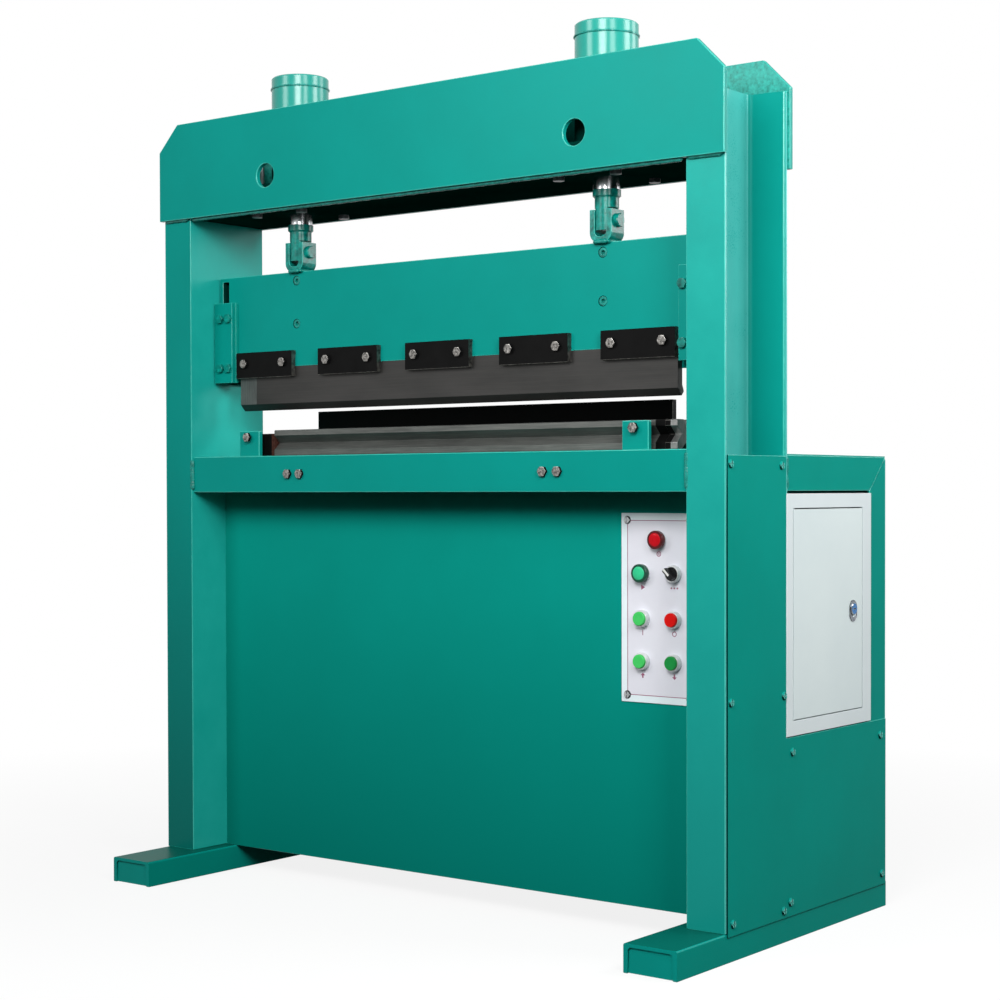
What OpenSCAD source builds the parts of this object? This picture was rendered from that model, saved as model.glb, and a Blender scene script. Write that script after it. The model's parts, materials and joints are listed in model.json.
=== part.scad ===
// Hydraulic press brake: two channel columns, a twin cylinder crown, a guided ram with its punch,
// a bench with a four-way die, a back gauge and a rear housing with the electric box and power pack.
// X runs across the machine from its centre and Z runs up from the floor. Inside the modules Y runs back
// from the front face of the columns; placed() then moves the machine so that its origin lies on the
// floor, midway along the feet.

/* [Columns and feet] */
// Clear width between the webs of the two columns
throat_w = 1150; // [1050:10:1300]
// Depth of a column, the height of its rolled channel section
column_depth = 200; // [180:5:240]
// Width of a column flange
column_flange = 73; // [66:1:85]
// Thickness of a column web
column_web_t = 7.5; // [6:0.5:10]
// Thickness of a column flange at its middle
column_flange_t = 11; // [9:0.5:13]
// Height of the column tops above the floor
column_top = 1422; // [1400:1:1450]
// Height of a foot channel
foot_h = 48; // [44:1:52]
// Width of a foot channel
foot_w = 100; // [94:1:110]
// Wall of a foot channel
foot_t = 6; // [5:0.5:8]
// Reach of a foot in front of the columns
foot_front = 142; // [100:5:200]
// Reach of a foot behind the rear housing
foot_behind = 5; // [0:1:40]

/* [Crown] */
// Height of the lower edge of the crown plates
crown_low = 1293.5; // [1280:0.5:1310]
// Height of a crown plate
crown_h = 187; // [175:1:200]
// Thickness of a crown plate
crown_t = 10; // [8:1:14]
// Overhang of a crown plate past the column flanges
crown_over = 4.5; // [1:0.5:15]
// Size of the cut-off upper corners of a crown plate
crown_chamfer = 51; // [20:1:80]
// Diameter of the sight holes in the front crown plate
sight_d = 45; // [25:1:60]
// Height of the sight holes above the lower edge of the plate
sight_up = 64; // [50:1:110]
// Thickness of the bed plate that carries the cylinders
bed_t = 25; // [20:1:32]

/* [Cylinders] */
// Distance of each cylinder axis from the machine's centre
cyl_x = 360; // [300:5:420]
// Distance of the cylinder axes behind the column fronts
cyl_y = 87.5; // [85:0.5:92]
// Outside diameter of a cylinder barrel
cyl_od = 110; // [104:1:120]
// Bore of a cylinder barrel
cyl_bore = 90; // [80:1:95]
// Height of the cylinder tops above the floor
cyl_top = 1554.5; // [1540:0.5:1590]
// Thickness of the welded cylinder cap
cap_t = 21.5; // [14:0.5:26]
// Side of the square cylinder flange
cyl_flange_w = 150; // [144:1:160]
// Thickness of the cylinder flange
cyl_flange_t = 28; // [20:1:32]
// Spacing of the flange bolts
cyl_bolt_gap = 118; // [116:1:122]
// Thread diameter of the flange bolts
cyl_bolt_d = 12; // [10:1:14]
// Length of a gland inside its barrel
gland_h = 26; // [18:1:30]
// Diameter of the chromed piston rods
rod_d = 45; // [38:1:50]
// Height of a piston
piston_h = 34; // [24:1:40]
// Share of its room in the bore at which a piston rests
piston_rest = 0.375; // [0.35:0.005:0.6]
// Distance from the bed's underside up to the shoulder of a rod end
rod_show = 21.5; // [18:0.5:26]

/* [Ram] */
// Width of the ram plate
ram_w = 1140; // [1126:1:1144]
// Thickness of the ram plate
ram_t = 25; // [20:1:28]
// Distance of the ram's front face behind the column fronts
ram_y = 75; // [73:0.5:77]
// Height of the ram's front face
ram_h = 182; // [170:1:190]
// Depth of the lip that backs the punch
ram_lip = 38; // [20:1:44]
// Height of the chamfer under that lip
lip_chamfer = 13; // [4:1:16]
// Width of a clevis across its cheeks
clevis_w = 45; // [40:1:52]
// Depth of a clevis from front to back
clevis_d = 39; // [34:1:46]
// Height of a clevis
clevis_h = 56; // [50:1:60]
// Thickness of the bent clevis bar
clevis_t = 10; // [8:0.5:12]
// Diameter of a clevis pin
clevis_pin_d = 16; // [12:1:18]
// Height of a clevis pin above the ram
clevis_pin_up = 37; // [34:1:39]
// Diameter of the collar on a rod end
collar_d = 49; // [46:1:56]
// Height of that collar
collar_h = 11; // [8:1:14]
// Thickness of the rod end's tongue
tongue_t = 24; // [18:0.5:24.5]
// Width of the backing bars behind the ram
backing_w = 50; // [40:1:60]
// Thickness of the backing bars
backing_t = 12; // [8:1:16]
// Height of the backing bars
backing_h = 122; // [110:1:126]

/* [Tooling] */
// Height of the bench top above the floor
bench_z = 826; // [815:1:840]
// Side of the four-way die block, front to back
die_d = 50; // [46:1:56]
// Height of the four-way die block
die_h = 50.5; // [46:0.5:54]
// Opening of the working V in the die's top
vee_w = 16; // [10:1:20]
// Opening of the V in the die's front
front_vee_w = 28; // [20:1:30]
// Opening of the V in the die's back
rear_vee_w = 22; // [16:1:28]
// Angle of the V grooves
vee_angle = 88; // [80:1:90]
// Left end of the die from the machine's centre
die_left = 405; // [350:5:420]
// Right end of the die from the machine's centre
die_right = 497; // [480:1:505]
// Length of the short die section at the right end
die_short = 24; // [12:1:30]
// Length of the stop block at the left end
stop_len = 35; // [25:1:50]
// Open height between the punch and the die
daylight = 40; // [30:1:44]
// Length of the punch
punch_w = 1024; // [980:2:1030]
// Thickness of the punch
punch_t = 14; // [10:0.5:16]
// Height of the punch
punch_h = 83.5; // [80:0.5:90]
// Distance that the punch stands in front of the ram's face
punch_proud = 1; // [0.5:0.5:2]
// Height of the bevel at the front of the punch
punch_bevel = 12.5; // [8:0.5:14]
// Length of a punch clamp
clamp_w = 150; // [120:2:170]
// Height of a punch clamp
clamp_h = 50.5; // [44:0.5:56]
// Thickness of a punch clamp
clamp_t = 10.6; // [8:0.2:14]
// Distance of the inner punch clamps from each other
clamp_pitch = 219; // [200:1:225]
// Number of punch clamps
clamp_n = 5; // [3:2:5]
// Depth that the clamps reach below the ram's face
clamp_drop = 20; // [14:1:24]
// Distance of each clamp bolt from its clamp's centre
clamp_bolt_x = 51.8; // [30:0.2:56]
// Thread diameter of the machine bolts
bolt_d = 10; // [8:1:10]

/* [Guides] */
// Width of a guide plate
guide_w = 49; // [46:1:50]
// Height of a guide plate
guide_h = 158; // [150:1:170]
// Thickness of a guide plate
guide_t = 8; // [6:0.5:10]
// Height of the lower end of a guide plate
guide_low = 973; // [968:1:978]
// Thickness of a wear strip
strip_t = 6.7; // [4:0.1:8]
// Running clearance between the ram and its guides
guide_fit = 0.3; // [0.2:0.05:0.6]
// Width of the slots in the ram for the guide sleeves
guide_slot_w = 16; // [15.5:0.5:18]
// Height left above the slots in the ram
slot_bridge = 8; // [4:1:20]
// Diameter of the spacer sleeves in those slots
sleeve_d = 14; // [13:0.5:15]
// Height of the lower guide bolts
guide_bolt_low = 1002; // [998:1:1006]
// Distance between the lower and upper guide bolts
guide_bolt_gap = 98; // [92:1:100]

/* [Bench] */
// Height of the front beam
beam_h = 69.5; // [60:0.5:80]
// Thickness of the front beam
beam_t = 12; // [8:1:16]
// Setback of the front beam behind the column fronts
beam_y = 4; // [0:0.5:8]
// Thickness of the bench slab
bench_t = 50; // [44:1:56]
// Depth of the bench slab
bench_d = 134; // [130:1:142]
// Height of the rear beam
rear_beam_h = 150; // [120:5:180]
// Distance of the front sheet behind the column fronts
sheet_y = 91.5; // [60:0.5:100]
// Thickness of the sheet metal covers
sheet_t = 2; // [1:0.5:3]
// Width of a die tab
tab_w = 53; // [40:1:60]
// Height of a die tab
tab_h = 49; // [46:1:56]
// Thickness of a die tab
tab_t = 9.5; // [8:0.5:12]
// Distance of each die tab from the machine's centre
tab_x = 451.5; // [440:0.5:454]

/* [Back gauge] */
// Width of the gauge bar
gauge_w = 842; // [700:2:900]
// Height of the top of the gauge bar above the bench
gauge_up = 91; // [80:1:100]
// Thickness of the gauge bar
gauge_t = 12; // [8:1:16]
// Distance of the gauge face behind the column fronts
gauge_y = 200; // [190:1:240]
// Diameter of the gauge rods
gauge_rod_d = 20; // [16:1:24]
// Distance of each gauge rod from the machine's centre
gauge_rod_x = 340; // [280:5:380]

/* [Rear housing] */
// Depth of the housing behind the columns
housing_d = 356; // [340:2:420]
// Height of the housing's top rails
housing_top = 817; // [808:1:824]
// Leg of the angle iron in the housing frame
angle_leg = 60; // [50:1:65]
// Thickness of that angle iron
angle_t = 5; // [4:0.5:6]
// Lap of the electric box frame over the column flange
box_lap = 7; // [2:0.5:10]
// Width of the electric box frame
box_w = 303; // [290:1:303]
// Height of the electric box frame
box_h = 407.5; // [370:0.5:430]
// Gap between the electric box frame and the top rail
box_gap = 4.5; // [0.5:0.5:8]
// Depth of the electric box
box_deep = 180; // [150:5:220]
// Thickness of the electric box sheet
box_t = 1.5; // [1:0.25:2.5]
// Width of the cabinet door
door_w = 246; // [230:1:248]
// Height of the cabinet door
door_h = 354; // [340:1:358]
// Distance of the door's middle in front of the box frame's middle
door_ahead = 5.5; // [0:0.5:8]
// Height of the door's middle above the box frame's middle
door_up = 0.25; // [-2:0.25:2]
// Depth of the cabinet door's folded edge
door_fold = 12; // [8:1:14]
// Running gap round the cabinet door
door_gap = 2; // [1.5:0.25:4]
// Diameter of the hinge pins
hinge_d = 4; // [3:0.5:6]
// Width of the cabinet lock's rose
lock_d = 22; // [16:1:26]
// Height of the cabinet lock's rose
lock_h = 32; // [26:1:40]

/* [Control panel] */
// Width of the control panel plate
panel_w = 149; // [140:1:149]
// Height of the control panel plate
panel_h = 322; // [310:1:360]
// Distance of the panel's centre from the machine's centre
panel_x = 462.5; // [440:0.5:475]
// Height of the panel's centre above the floor
panel_z = 559; // [500:1:580]
// Outside diameter of the button bezels
bezel_d = 29.5; // [28:0.5:32]
// Depth of a bezel in front of the panel
bezel_h = 10; // [8:0.5:12]
// Diameter of the button caps
cap_d = 23.4; // [20:0.1:25]
// Distance that a cap stands out of its bezel
cap_out = 4.5; // [4.2:0.1:7]
// Travel of a push button
press = 4; // [3:0.5:4]

/* [Power pack] */
// Width of the oil tank
tank_w = 420; // [350:5:440]
// Depth of the oil tank
tank_d = 270; // [240:5:280]
// Height of the oil tank
tank_h = 300; // [220:5:320]
// Diameter of the pump motor
motor_d = 160; // [120:2:180]
// Length of the pump motor
motor_l = 250; // [200:5:260]
// Outside diameter of the oil pipes
pipe_d = 12; // [8:1:14]

/* [Hidden] */
$fn = 64;

// Colours
TEAL = "#0f8d80";
DARK_TEAL = "#0c6f66";
STEEL = "#8d9296";
CHROME = "#d8dade";
BLACK = "#1c1c1d";
GUNMETAL = "#3c3e3c";
PALE = "#dfe2e6";

// Clearances
hole_gap = 0.4;     // bolt holes, on the diameter
bore_fit = 0.1;     // shafts in bores, on the diameter
seat = 0.3;         // curved faces that lie beside each other
cut = 1;            // overshoot of a cut past the face that it opens

// Column and foot places
web_x = throat_w / 2;
side_x = web_x + column_flange;
foot_x = side_x - foot_w;
housing_back = column_depth + housing_d;
foot_len = foot_front + housing_back + foot_behind;
mid_y = foot_len / 2 - foot_front;
flange_slope = 0.1;
root_r = 11;

// Crown and cylinder places
crown_half = side_x + crown_over;
bed_top = crown_low + bed_t;
barrel_low = bed_top;
gland_d = 76;
port_low = barrel_low + cyl_flange_t + 18;
port_high = cyl_top - cap_t - 16;
port_y = cyl_y + cyl_od / 2 + 8;
port_d = 26;
weld_h = 3;
cap_edge = 2.5;

// Tooling stack, from the bench up
die_top = bench_z + die_h;
tip_z = die_top + daylight;
ram_low = tip_z + punch_h;
ram_top = ram_low + ram_h;
ram_back = ram_y + ram_t;
punch_y = ram_y - punch_proud;
punch_back = punch_y + punch_t;
tip_y = punch_y + 12;
tip_half = 0.5;
die_y = tip_y - 27.5;
stop_h = die_h - 6.5;
screw_z = bench_z + 37;
rod_end_top = crown_low - rod_show;
down_travel = daylight + 6;
up_travel = rod_show - 6.5;

// Guide places
guide_out = web_x - 4;
guide_back_y = ram_y - guide_fit;
guide_plate_y = guide_back_y - strip_t - guide_t;
lip_over = 10;
guide_bolt_out = web_x - 22;
guide_bolt_in = web_x - 44;
bracket_y = ram_back + guide_fit;
bracket_t = 10;
bracket_leg = 55;
bracket_deep = 60;

// Bench places
beam_low = bench_z - 0.5 - beam_h;
bench_y = beam_y + beam_t;
bench_back = bench_y + bench_d;
beam_bolt_z = bench_z - 35;
beam_bolt_x = [285, 316];
tab_y = die_y - 21.5;
tab_screw_reach = 37;

// Gauge places
gauge_rod_z = bench_z + 22;
sleeve_h = 34;
sleeve_w = 46;
sleeve_len = 50;
rod_block_w = 34;
rod_block_len = 22;
front_block_y = bench_back - rod_block_len - 6;
rear_block_y = housing_back - angle_leg - 20;

// Housing places
cover_low = foot_h - 6;
cover_top = housing_top - 2;
cover_mid = (cover_low + cover_top) / 2;
cover_front = 5;
box_y = column_depth - box_lap;
post_y = box_y + box_w;
box_z = housing_top - angle_leg - box_gap - box_h;
cover_step = box_z - 2;
door_y = box_y + (box_w - door_w) / 2 - door_ahead;
door_z = box_z + (box_h - door_h) / 2 + door_up;
box_face = side_x + 3;
hinge_x = box_face - hinge_d / 2 - 1;
hinge_y = door_y + 3;
lock_y = door_y + door_w - 35;
lock_z = door_z + door_h / 2 - 3.5;
fold_x = box_face - door_fold - 2;
cam_x = fold_x - 4;
rose_t = 1.5;
rail_low = foot_h;
rail_t = 6;

// Panel places
panel_y = sheet_y - sheet_t;
panel_screw_in = 12;
lamp_z = panel_z + 116;
row_z = [panel_z + 59, panel_z - 18, panel_z - 90.4];
left_col = panel_x - 31;
right_col = panel_x + 32.5;
neck_d = 22;
stem_d = 9;
pocket_gap = 0.6;
block_w = 30;
block_l = 34;

// Power pack places
tank_x = -470;
tank_y = column_depth + 25;
tank_z = rail_low + rail_t;
tank_top = tank_z + tank_h;
motor_x = tank_x + 180;
motor_y = tank_y + tank_d / 2;
motor_z = tank_top + motor_d / 2 + 20;
pipe_y = column_depth - 32;
valve_x = tank_x + 20;
valve_w = 90;
valve_d = 80;
valve_h = 130;
valve_y = tank_y + 20;

// Bolt sizes that follow the thread
function head_af(d) = d * 1.5 + 1;
function head_h(d) = d * 0.64;
function vee_depth(w) = w / 2 / tan(vee_angle / 2);

// Points of a round stretch
function arc(x, y, r, from, to, n = 6) =
    [for (i = [0:n]) let (a = from + (to - from) * i / n) [x + r * cos(a), y + r * sin(a)]];

// Helpers

// Moves a piece from the column front datum to the origin midway along the feet
module placed() {
    translate([0, -mid_y, 0]) children();
}

// Turns a shape drawn along +Z so that it points back, along +Y
module facing_back(x, y, z) {
    translate([x, y, z]) rotate([-90, 0, 0]) children();
}

// Turns a shape drawn along +Z so that it points to the front, along -Y
module facing_front(x, y, z) {
    translate([x, y, z]) rotate([90, 0, 0]) children();
}

// Turns a shape drawn along +Z so that it points to the right, along +X
module facing_right(x, y, z) {
    translate([x, y, z]) rotate([0, 90, 0]) children();
}

// Extrudes a Y-Z profile along X from x0 to x1
module along_x(x0, x1) {
    translate([x0, 0, 0]) rotate([90, 0, 90]) linear_extrude(height = x1 - x0) children();
}

// Block given by two corners
module block(low, high) {
    translate(low) cube(high - low);
}

// Both sides of the machine
module both_sides() {
    children();
    mirror([1, 0, 0]) children();
}

// Hexagon head with a chamfered top, standing on z = 0 towards -Z
module hex_head(d) {
    af = head_af(d);
    h = head_h(d);
    translate([0, 0, -h]) intersection() {
        cylinder(d = af / cos(30), h = h, $fn = 6);
        cylinder(d1 = af * 0.93, d2 = af * 0.93 + 4 * h, h = h);
    }
}

// Hexagon bolt whose head seats on z = 0 and whose shank runs along +Z
module hex_bolt(d, reach) {
    hex_head(d);
    cylinder(d = d, h = reach);
}

// Pan head screw whose head seats on z = 0 and whose shank runs along +Z
module pan_screw(d, reach) {
    translate([0, 0, -d * 0.6]) difference() {
        cylinder(d1 = d * 1.5, d2 = d * 2, h = d * 0.6);
        translate([-d, -d * 0.14, -cut]) cube([d * 2, d * 0.28, cut + d * 0.3]);
        translate([-d * 0.14, -d, -cut]) cube([d * 0.28, d * 2, cut + d * 0.3]);
    }
    cylinder(d = d, h = reach);
}

// Rolled channel section, web along the first axis side at x = 0, flanges towards +X
module channel_section(h, b, tw, tf, r) {
    rise = flange_slope * (b - tw) / 2;
    toe = tf - rise;
    root = tf + rise;
    polygon(concat(
        [[0, 0], [b, 0], [b, toe - 3], [b - 3, toe]],
        arc(tw + r, root + r, r, 270, 180),
        arc(tw + r, h - root - r, r, 180, 90),
        [[b - 3, h - toe], [b, h - toe + 3], [b, h], [0, h]]
    ));
}

// Pipe of round bar through a list of corners
module pipe(points, d) {
    for (i = [0:len(points) - 2]) {
        v = points[i + 1] - points[i];
        l = norm(v);
        translate(points[i])
            rotate([0, acos(v[2] / l), atan2(v[1], v[0])]) cylinder(d = d, h = l);
        if (i > 0) translate(points[i]) sphere(d = d);
    }
}

// Columns and feet

module column_blank() {
    translate([web_x, 0, foot_h]) linear_extrude(height = column_top - foot_h)
        channel_section(column_depth, column_flange, column_web_t, column_flange_t, root_r);
}

module left_column() {
    color(TEAL) placed() difference() {
        mirror([1, 0, 0]) column_blank();
        for (z = [pipe_in_a, pipe_in_b])
            facing_right(-web_x - column_web_t - cut, pipe_y, z)
                cylinder(d = pipe_d + 6, h = column_web_t + 2 * cut);
    }
}

module right_column() {
    color(TEAL) placed() column_blank();
}

// Channel with its web on top, closed at both ends by inset plates
module foot() {
    end_in = 3;
    rib = foot_t + 1.5;
    translate([foot_x, -foot_front, 0]) {
        translate([0, foot_len, 0]) rotate([90, 0, 0]) linear_extrude(height = foot_len)
            polygon(concat(
                [[0, 0], [rib, 0], [rib + 1, foot_h - foot_t - 4]],
                [[rib + 5, foot_h - foot_t], [foot_w - rib - 5, foot_h - foot_t]],
                [[foot_w - rib - 1, foot_h - foot_t - 4], [foot_w - rib, 0], [foot_w, 0]],
                arc(foot_w - 4, foot_h - 4, 4, 0, 90, 4),
                arc(4, foot_h - 4, 4, 90, 180, 4)
            ));
        for (y = [end_in, foot_len - end_in - foot_t])
            translate([rib, y, 1]) cube([foot_w - 2 * rib, foot_t, foot_h - foot_t - 1]);
    }
}

module left_foot() {
    color(TEAL) placed() mirror([1, 0, 0]) foot();
}

module right_foot() {
    color(TEAL) placed() foot();
}

// Crown

module crown_outline() {
    top = crown_low + crown_h;
    polygon([
        [-crown_half, crown_low], [crown_half, crown_low],
        [crown_half, top - crown_chamfer], [crown_half - crown_chamfer, top],
        [crown_chamfer - crown_half, top], [-crown_half, top - crown_chamfer]
    ]);
}

module crown_plate(y) {
    translate([0, y + crown_t, 0]) rotate([90, 0, 0]) linear_extrude(height = crown_t) crown_outline();
}

module front_crown_plate() {
    color(TEAL) placed() difference() {
        crown_plate(-crown_t);
        both_sides() facing_back(cyl_x, -crown_t - cut, crown_low + sight_up)
            cylinder(d = sight_d, h = crown_t + 2 * cut);
    }
}

module rear_crown_plate() {
    color(TEAL) placed() crown_plate(column_depth);
}

module at_flange_bolts() {
    both_sides() for (dx = [-1, 1], dy = [-1, 1])
        translate([cyl_x + dx * cyl_bolt_gap / 2, cyl_y + dy * cyl_bolt_gap / 2, crown_low]) children();
}

module cylinder_bed() {
    color(DARK_TEAL) placed() difference() {
        block([-web_x, 0, crown_low], [web_x, column_depth, bed_top]);
        both_sides() translate([cyl_x, cyl_y, crown_low - cut])
            cylinder(d = gland_d + hole_gap, h = bed_t + 2 * cut);
        at_flange_bolts() translate([0, 0, -cut])
            cylinder(d = cyl_bolt_d + hole_gap, h = bed_t + 2 * cut);
    }
}

// Hydraulic cylinders

module cylinder_unit() {
    half = cyl_flange_w / 2;
    difference() {
        union() {
            translate([cyl_x, cyl_y, barrel_low]) cylinder(d = cyl_od, h = cyl_top - barrel_low - cap_edge);
            translate([cyl_x, cyl_y, cyl_top - cap_edge]) cylinder(d1 = cyl_od, d2 = cyl_od - 2 * cap_edge, h = cap_edge);
            block([cyl_x - half, cyl_y - half, barrel_low], [cyl_x + half, cyl_y + half, barrel_low + cyl_flange_t]);
            for (z = [port_low, port_high]) facing_back(cyl_x, cyl_y, z) cylinder(d = port_d, h = port_y - cyl_y);
            // weld bead under the cap
            translate([cyl_x, cyl_y, cyl_top - cap_t - weld_h / 2]) cylinder(d = cyl_od + weld_h, h = weld_h);
        }
        translate([cyl_x, cyl_y, barrel_low - cut]) cylinder(d = cyl_bore, h = cyl_top - cap_t - barrel_low + cut);
        for (dx = [-1, 1], dy = [-1, 1])
            translate([cyl_x + dx * cyl_bolt_gap / 2, cyl_y + dy * cyl_bolt_gap / 2, barrel_low - cut])
                cylinder(d = cyl_bolt_d + hole_gap, h = cyl_flange_t - 3 + cut);
        for (z = [port_low, port_high]) facing_back(cyl_x, cyl_y, z)
            cylinder(d = pipe_d + hole_gap, h = port_y - cyl_y + cut);
    }
}

module left_cylinder() {
    color(TEAL) placed() mirror([1, 0, 0]) cylinder_unit();
}

module right_cylinder() {
    color(TEAL) placed() cylinder_unit();
}

module cylinder_glands() {
    color(STEEL) placed() both_sides() translate([cyl_x, cyl_y, 0]) difference() {
        union() {
            translate([0, 0, crown_low]) cylinder(d = gland_d, h = bed_t);
            translate([0, 0, barrel_low]) cylinder(d = cyl_bore - hole_gap, h = gland_h);
        }
        translate([0, 0, crown_low - cut]) cylinder(d = rod_d + bore_fit, h = bed_t + gland_h + 2 * cut);
    }
}

module cylinder_bolts() {
    color(STEEL) placed() at_flange_bolts() hex_bolt(cyl_bolt_d, bed_t + cyl_flange_t - 6);
}

// Ram body

// Chromed rod and its piston, which rests between the gland and the cylinder's cap
module rod_unit() {
    seat_z = barrel_low + gland_h;
    room = cyl_top - cap_t - piston_h - seat_z;
    piston_z = seat_z + room * piston_rest;
    translate([cyl_x, cyl_y, 0]) {
        translate([0, 0, rod_end_top]) cylinder(d = rod_d, h = piston_z + piston_h / 2 - rod_end_top);
        translate([0, 0, piston_z]) difference() {
            cylinder(d = cyl_bore - hole_gap, h = piston_h);
            // seal groove
            translate([0, 0, piston_h / 2 - 4]) difference() {
                cylinder(d = cyl_bore + 2, h = 8);
                translate([0, 0, -cut]) cylinder(d = cyl_bore - 10, h = 8 + 2 * cut);
            }
        }
    }
}

module left_rod() {
    color(CHROME) placed() mirror([1, 0, 0]) rod_unit();
}

module right_rod() {
    color(CHROME) placed() rod_unit();
}

// Turned rod end: collar, round neck, and a flat tongue that the clevis pin passes through
module rod_ends() {
    neck_d = collar_d - 7;
    tongue_top = ram_top + clevis_h + 3;
    tongue_low = ram_top + clevis_t + 10.5;
    color(TEAL) placed() both_sides() translate([cyl_x, cyl_y, 0]) difference() {
        union() {
            translate([0, 0, rod_end_top - collar_h]) cylinder(d = collar_d, h = collar_h);
            translate([0, 0, rod_end_top - collar_h - 3]) cylinder(d1 = neck_d, d2 = collar_d - 1, h = 3);
            translate([0, 0, tongue_low]) cylinder(d = neck_d, h = rod_end_top - collar_h - tongue_low);
        }
        for (side = [-1, 1]) translate([side * (tongue_t + neck_d) / 2, 0, (tongue_low + tongue_top) / 2 - 2])
            cube([neck_d, neck_d + 2, tongue_top - tongue_low + 4], center = true);
        facing_right(-neck_d, 0, ram_top + clevis_pin_up) cylinder(d = clevis_pin_d + bore_fit, h = 2 * neck_d);
    }
}

// Flat bar bent into a U, seen along Y
module clevis_profile() {
    r = clevis_w / 2 - 6;
    ri = r - clevis_t + 3;
    half = clevis_w / 2;
    inner = half - clevis_t;
    difference() {
        polygon(concat(
            arc(r - half, r, r, 180, 270), arc(half - r, r, r, 270, 360),
            [[half, clevis_h], [-half, clevis_h]]
        ));
        polygon(concat(
            arc(ri - inner, clevis_t + ri, ri, 180, 270), arc(inner - ri, clevis_t + ri, ri, 270, 360),
            [[inner, clevis_h + cut], [-inner, clevis_h + cut]]
        ));
    }
}

module clevis() {
    difference() {
        translate([cyl_x, cyl_y + clevis_d / 2, ram_top]) rotate([90, 0, 0])
            linear_extrude(height = clevis_d) clevis_profile();
        facing_right(cyl_x - clevis_w, cyl_y, ram_top + clevis_pin_up)
            cylinder(d = clevis_pin_d + bore_fit, h = 2 * clevis_w);
    }
}

module clevises() {
    color(TEAL) placed() both_sides() clevis();
}

// Headed pins, both with the head to the right
module clevis_pins() {
    head_t = 7;
    color(TEAL) placed() for (x = [-cyl_x, cyl_x]) facing_right(x, cyl_y, ram_top + clevis_pin_up) {
        translate([0, 0, -clevis_w / 2 - 3]) cylinder(d = clevis_pin_d, h = clevis_w + 3);
        translate([0, 0, clevis_w / 2]) cylinder(d = clevis_pin_d + 8, h = head_t - 2);
        translate([0, 0, clevis_w / 2 + head_t - 2])
            cylinder(d1 = clevis_pin_d + 8, d2 = clevis_pin_d + 4, h = 2);
    }
}

// Front to back section of the ram, with the lip that backs the punch
module ram_profile() {
    polygon([
        [ram_y, ram_top], [ram_y, ram_low], [punch_back, ram_low],
        [punch_back, ram_low - ram_lip], [punch_back + 2, ram_low - ram_lip],
        [ram_back, ram_low - ram_lip + lip_chamfer], [ram_back, ram_top]
    ]);
}

// Upright slots for the guide sleeves: the upper one ends under the ram's top, and the lower one is
// open at the bottom
module guide_slots() {
    upper = guide_bolt_low + guide_bolt_gap;
    slack = 11;
    for (span = [[ram_low - ram_lip - cut, guide_bolt_low + down_travel + slack],
            [upper - up_travel - slack, ram_top - slot_bridge]])
        block([guide_bolt_out - guide_slot_w / 2, ram_y - cut, span[0]],
            [guide_bolt_out + guide_slot_w / 2, ram_back + cut, span[1]]);
}

// The lip behind the punch stops short of the guides
module lip_ends() {
    block([punch_w / 2 + lip_over, ram_y - cut, ram_low - ram_lip - cut], [ram_w / 2 + cut, ram_back + cut, guide_low + 3]);
}

screw_rows = [ram_top - 17, ram_top - 100];
socket_head_d = 16;
socket_head_h = 10;

module ram_plate() {
    color(TEAL) placed() difference() {
        along_x(-ram_w / 2, ram_w / 2) ram_profile();
        both_sides() {
            guide_slots();
            lip_ends();
        }
        both_sides() for (z = screw_rows) facing_back(cyl_x, ram_y - cut, z) {
            cylinder(d = socket_head_d + 2.5, h = socket_head_h + cut);
            cylinder(d = bolt_d + hole_gap, h = ram_t + 2 * cut);
        }
        at_clamp_bolts(ram_y - cut) cylinder(d = bolt_d + hole_gap, h = clamp_bolt_reach - clamp_t + 2 * cut);
    }
}

module ram_backing_bars() {
    half = backing_w / 2;
    color(TEAL) placed() both_sides() difference() {
        block([cyl_x - half, ram_back, ram_top - backing_h], [cyl_x + half, ram_back + backing_t, ram_top]);
        for (z = screw_rows) facing_back(cyl_x, ram_back - cut, z)
            cylinder(d = bolt_d + hole_gap, h = backing_t + 2 * cut);
    }
}

module ram_screws() {
    color(STEEL) placed() both_sides() for (z = screw_rows) facing_back(cyl_x, ram_y + 0.5, z) difference() {
        union() {
            cylinder(d = socket_head_d, h = socket_head_h - 0.5);
            cylinder(d = bolt_d, h = ram_t + backing_t - 1);
        }
        translate([0, 0, -cut]) cylinder(d = 8 / cos(30), h = 6 + cut, $fn = 6);
    }
}

// Punch and its clamps

clamp_bolt_z = ram_low + 8.5;
clamp_bolt_reach = 30;
clamp_y = punch_y - clamp_t;
clamp_over = 1;

// The outer clamps end at the punch's ends, and the others stand at the pitch from the middle
module at_clamps() {
    outer = (clamp_n - 1) / 2;
    outer_x = punch_w / 2 + clamp_over - clamp_w / 2;
    for (i = [-outer:outer]) translate([abs(i) == outer ? sign(i) * outer_x : i * clamp_pitch, 0, 0]) children();
}

module at_clamp_bolts(y) {
    at_clamps() for (side = [-1, 1]) facing_back(side * clamp_bolt_x, y, clamp_bolt_z) children();
}

// The heel at the top of each clamp bears on the ram, and its foot presses on the punch
module clamp_plates() {
    low = ram_low - clamp_drop;
    heel = 8;
    color(BLACK) placed() difference() {
        at_clamps() along_x(-clamp_w / 2, clamp_w / 2) polygon([
            [clamp_y, low], [clamp_y, low + clamp_h - 1], [clamp_y + 1, low + clamp_h],
            [ram_y, low + clamp_h], [ram_y, low + clamp_h - heel],
            [punch_y, low + clamp_h - heel - punch_proud], [punch_y, low]
        ]);
        at_clamp_bolts(clamp_y - cut) cylinder(d = bolt_d + hole_gap, h = clamp_t + 3 * cut);
    }
}

module clamp_bolts() {
    color(GUNMETAL) placed() at_clamp_bolts(clamp_y) hex_bolt(bolt_d, clamp_bolt_reach);
}

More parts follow.
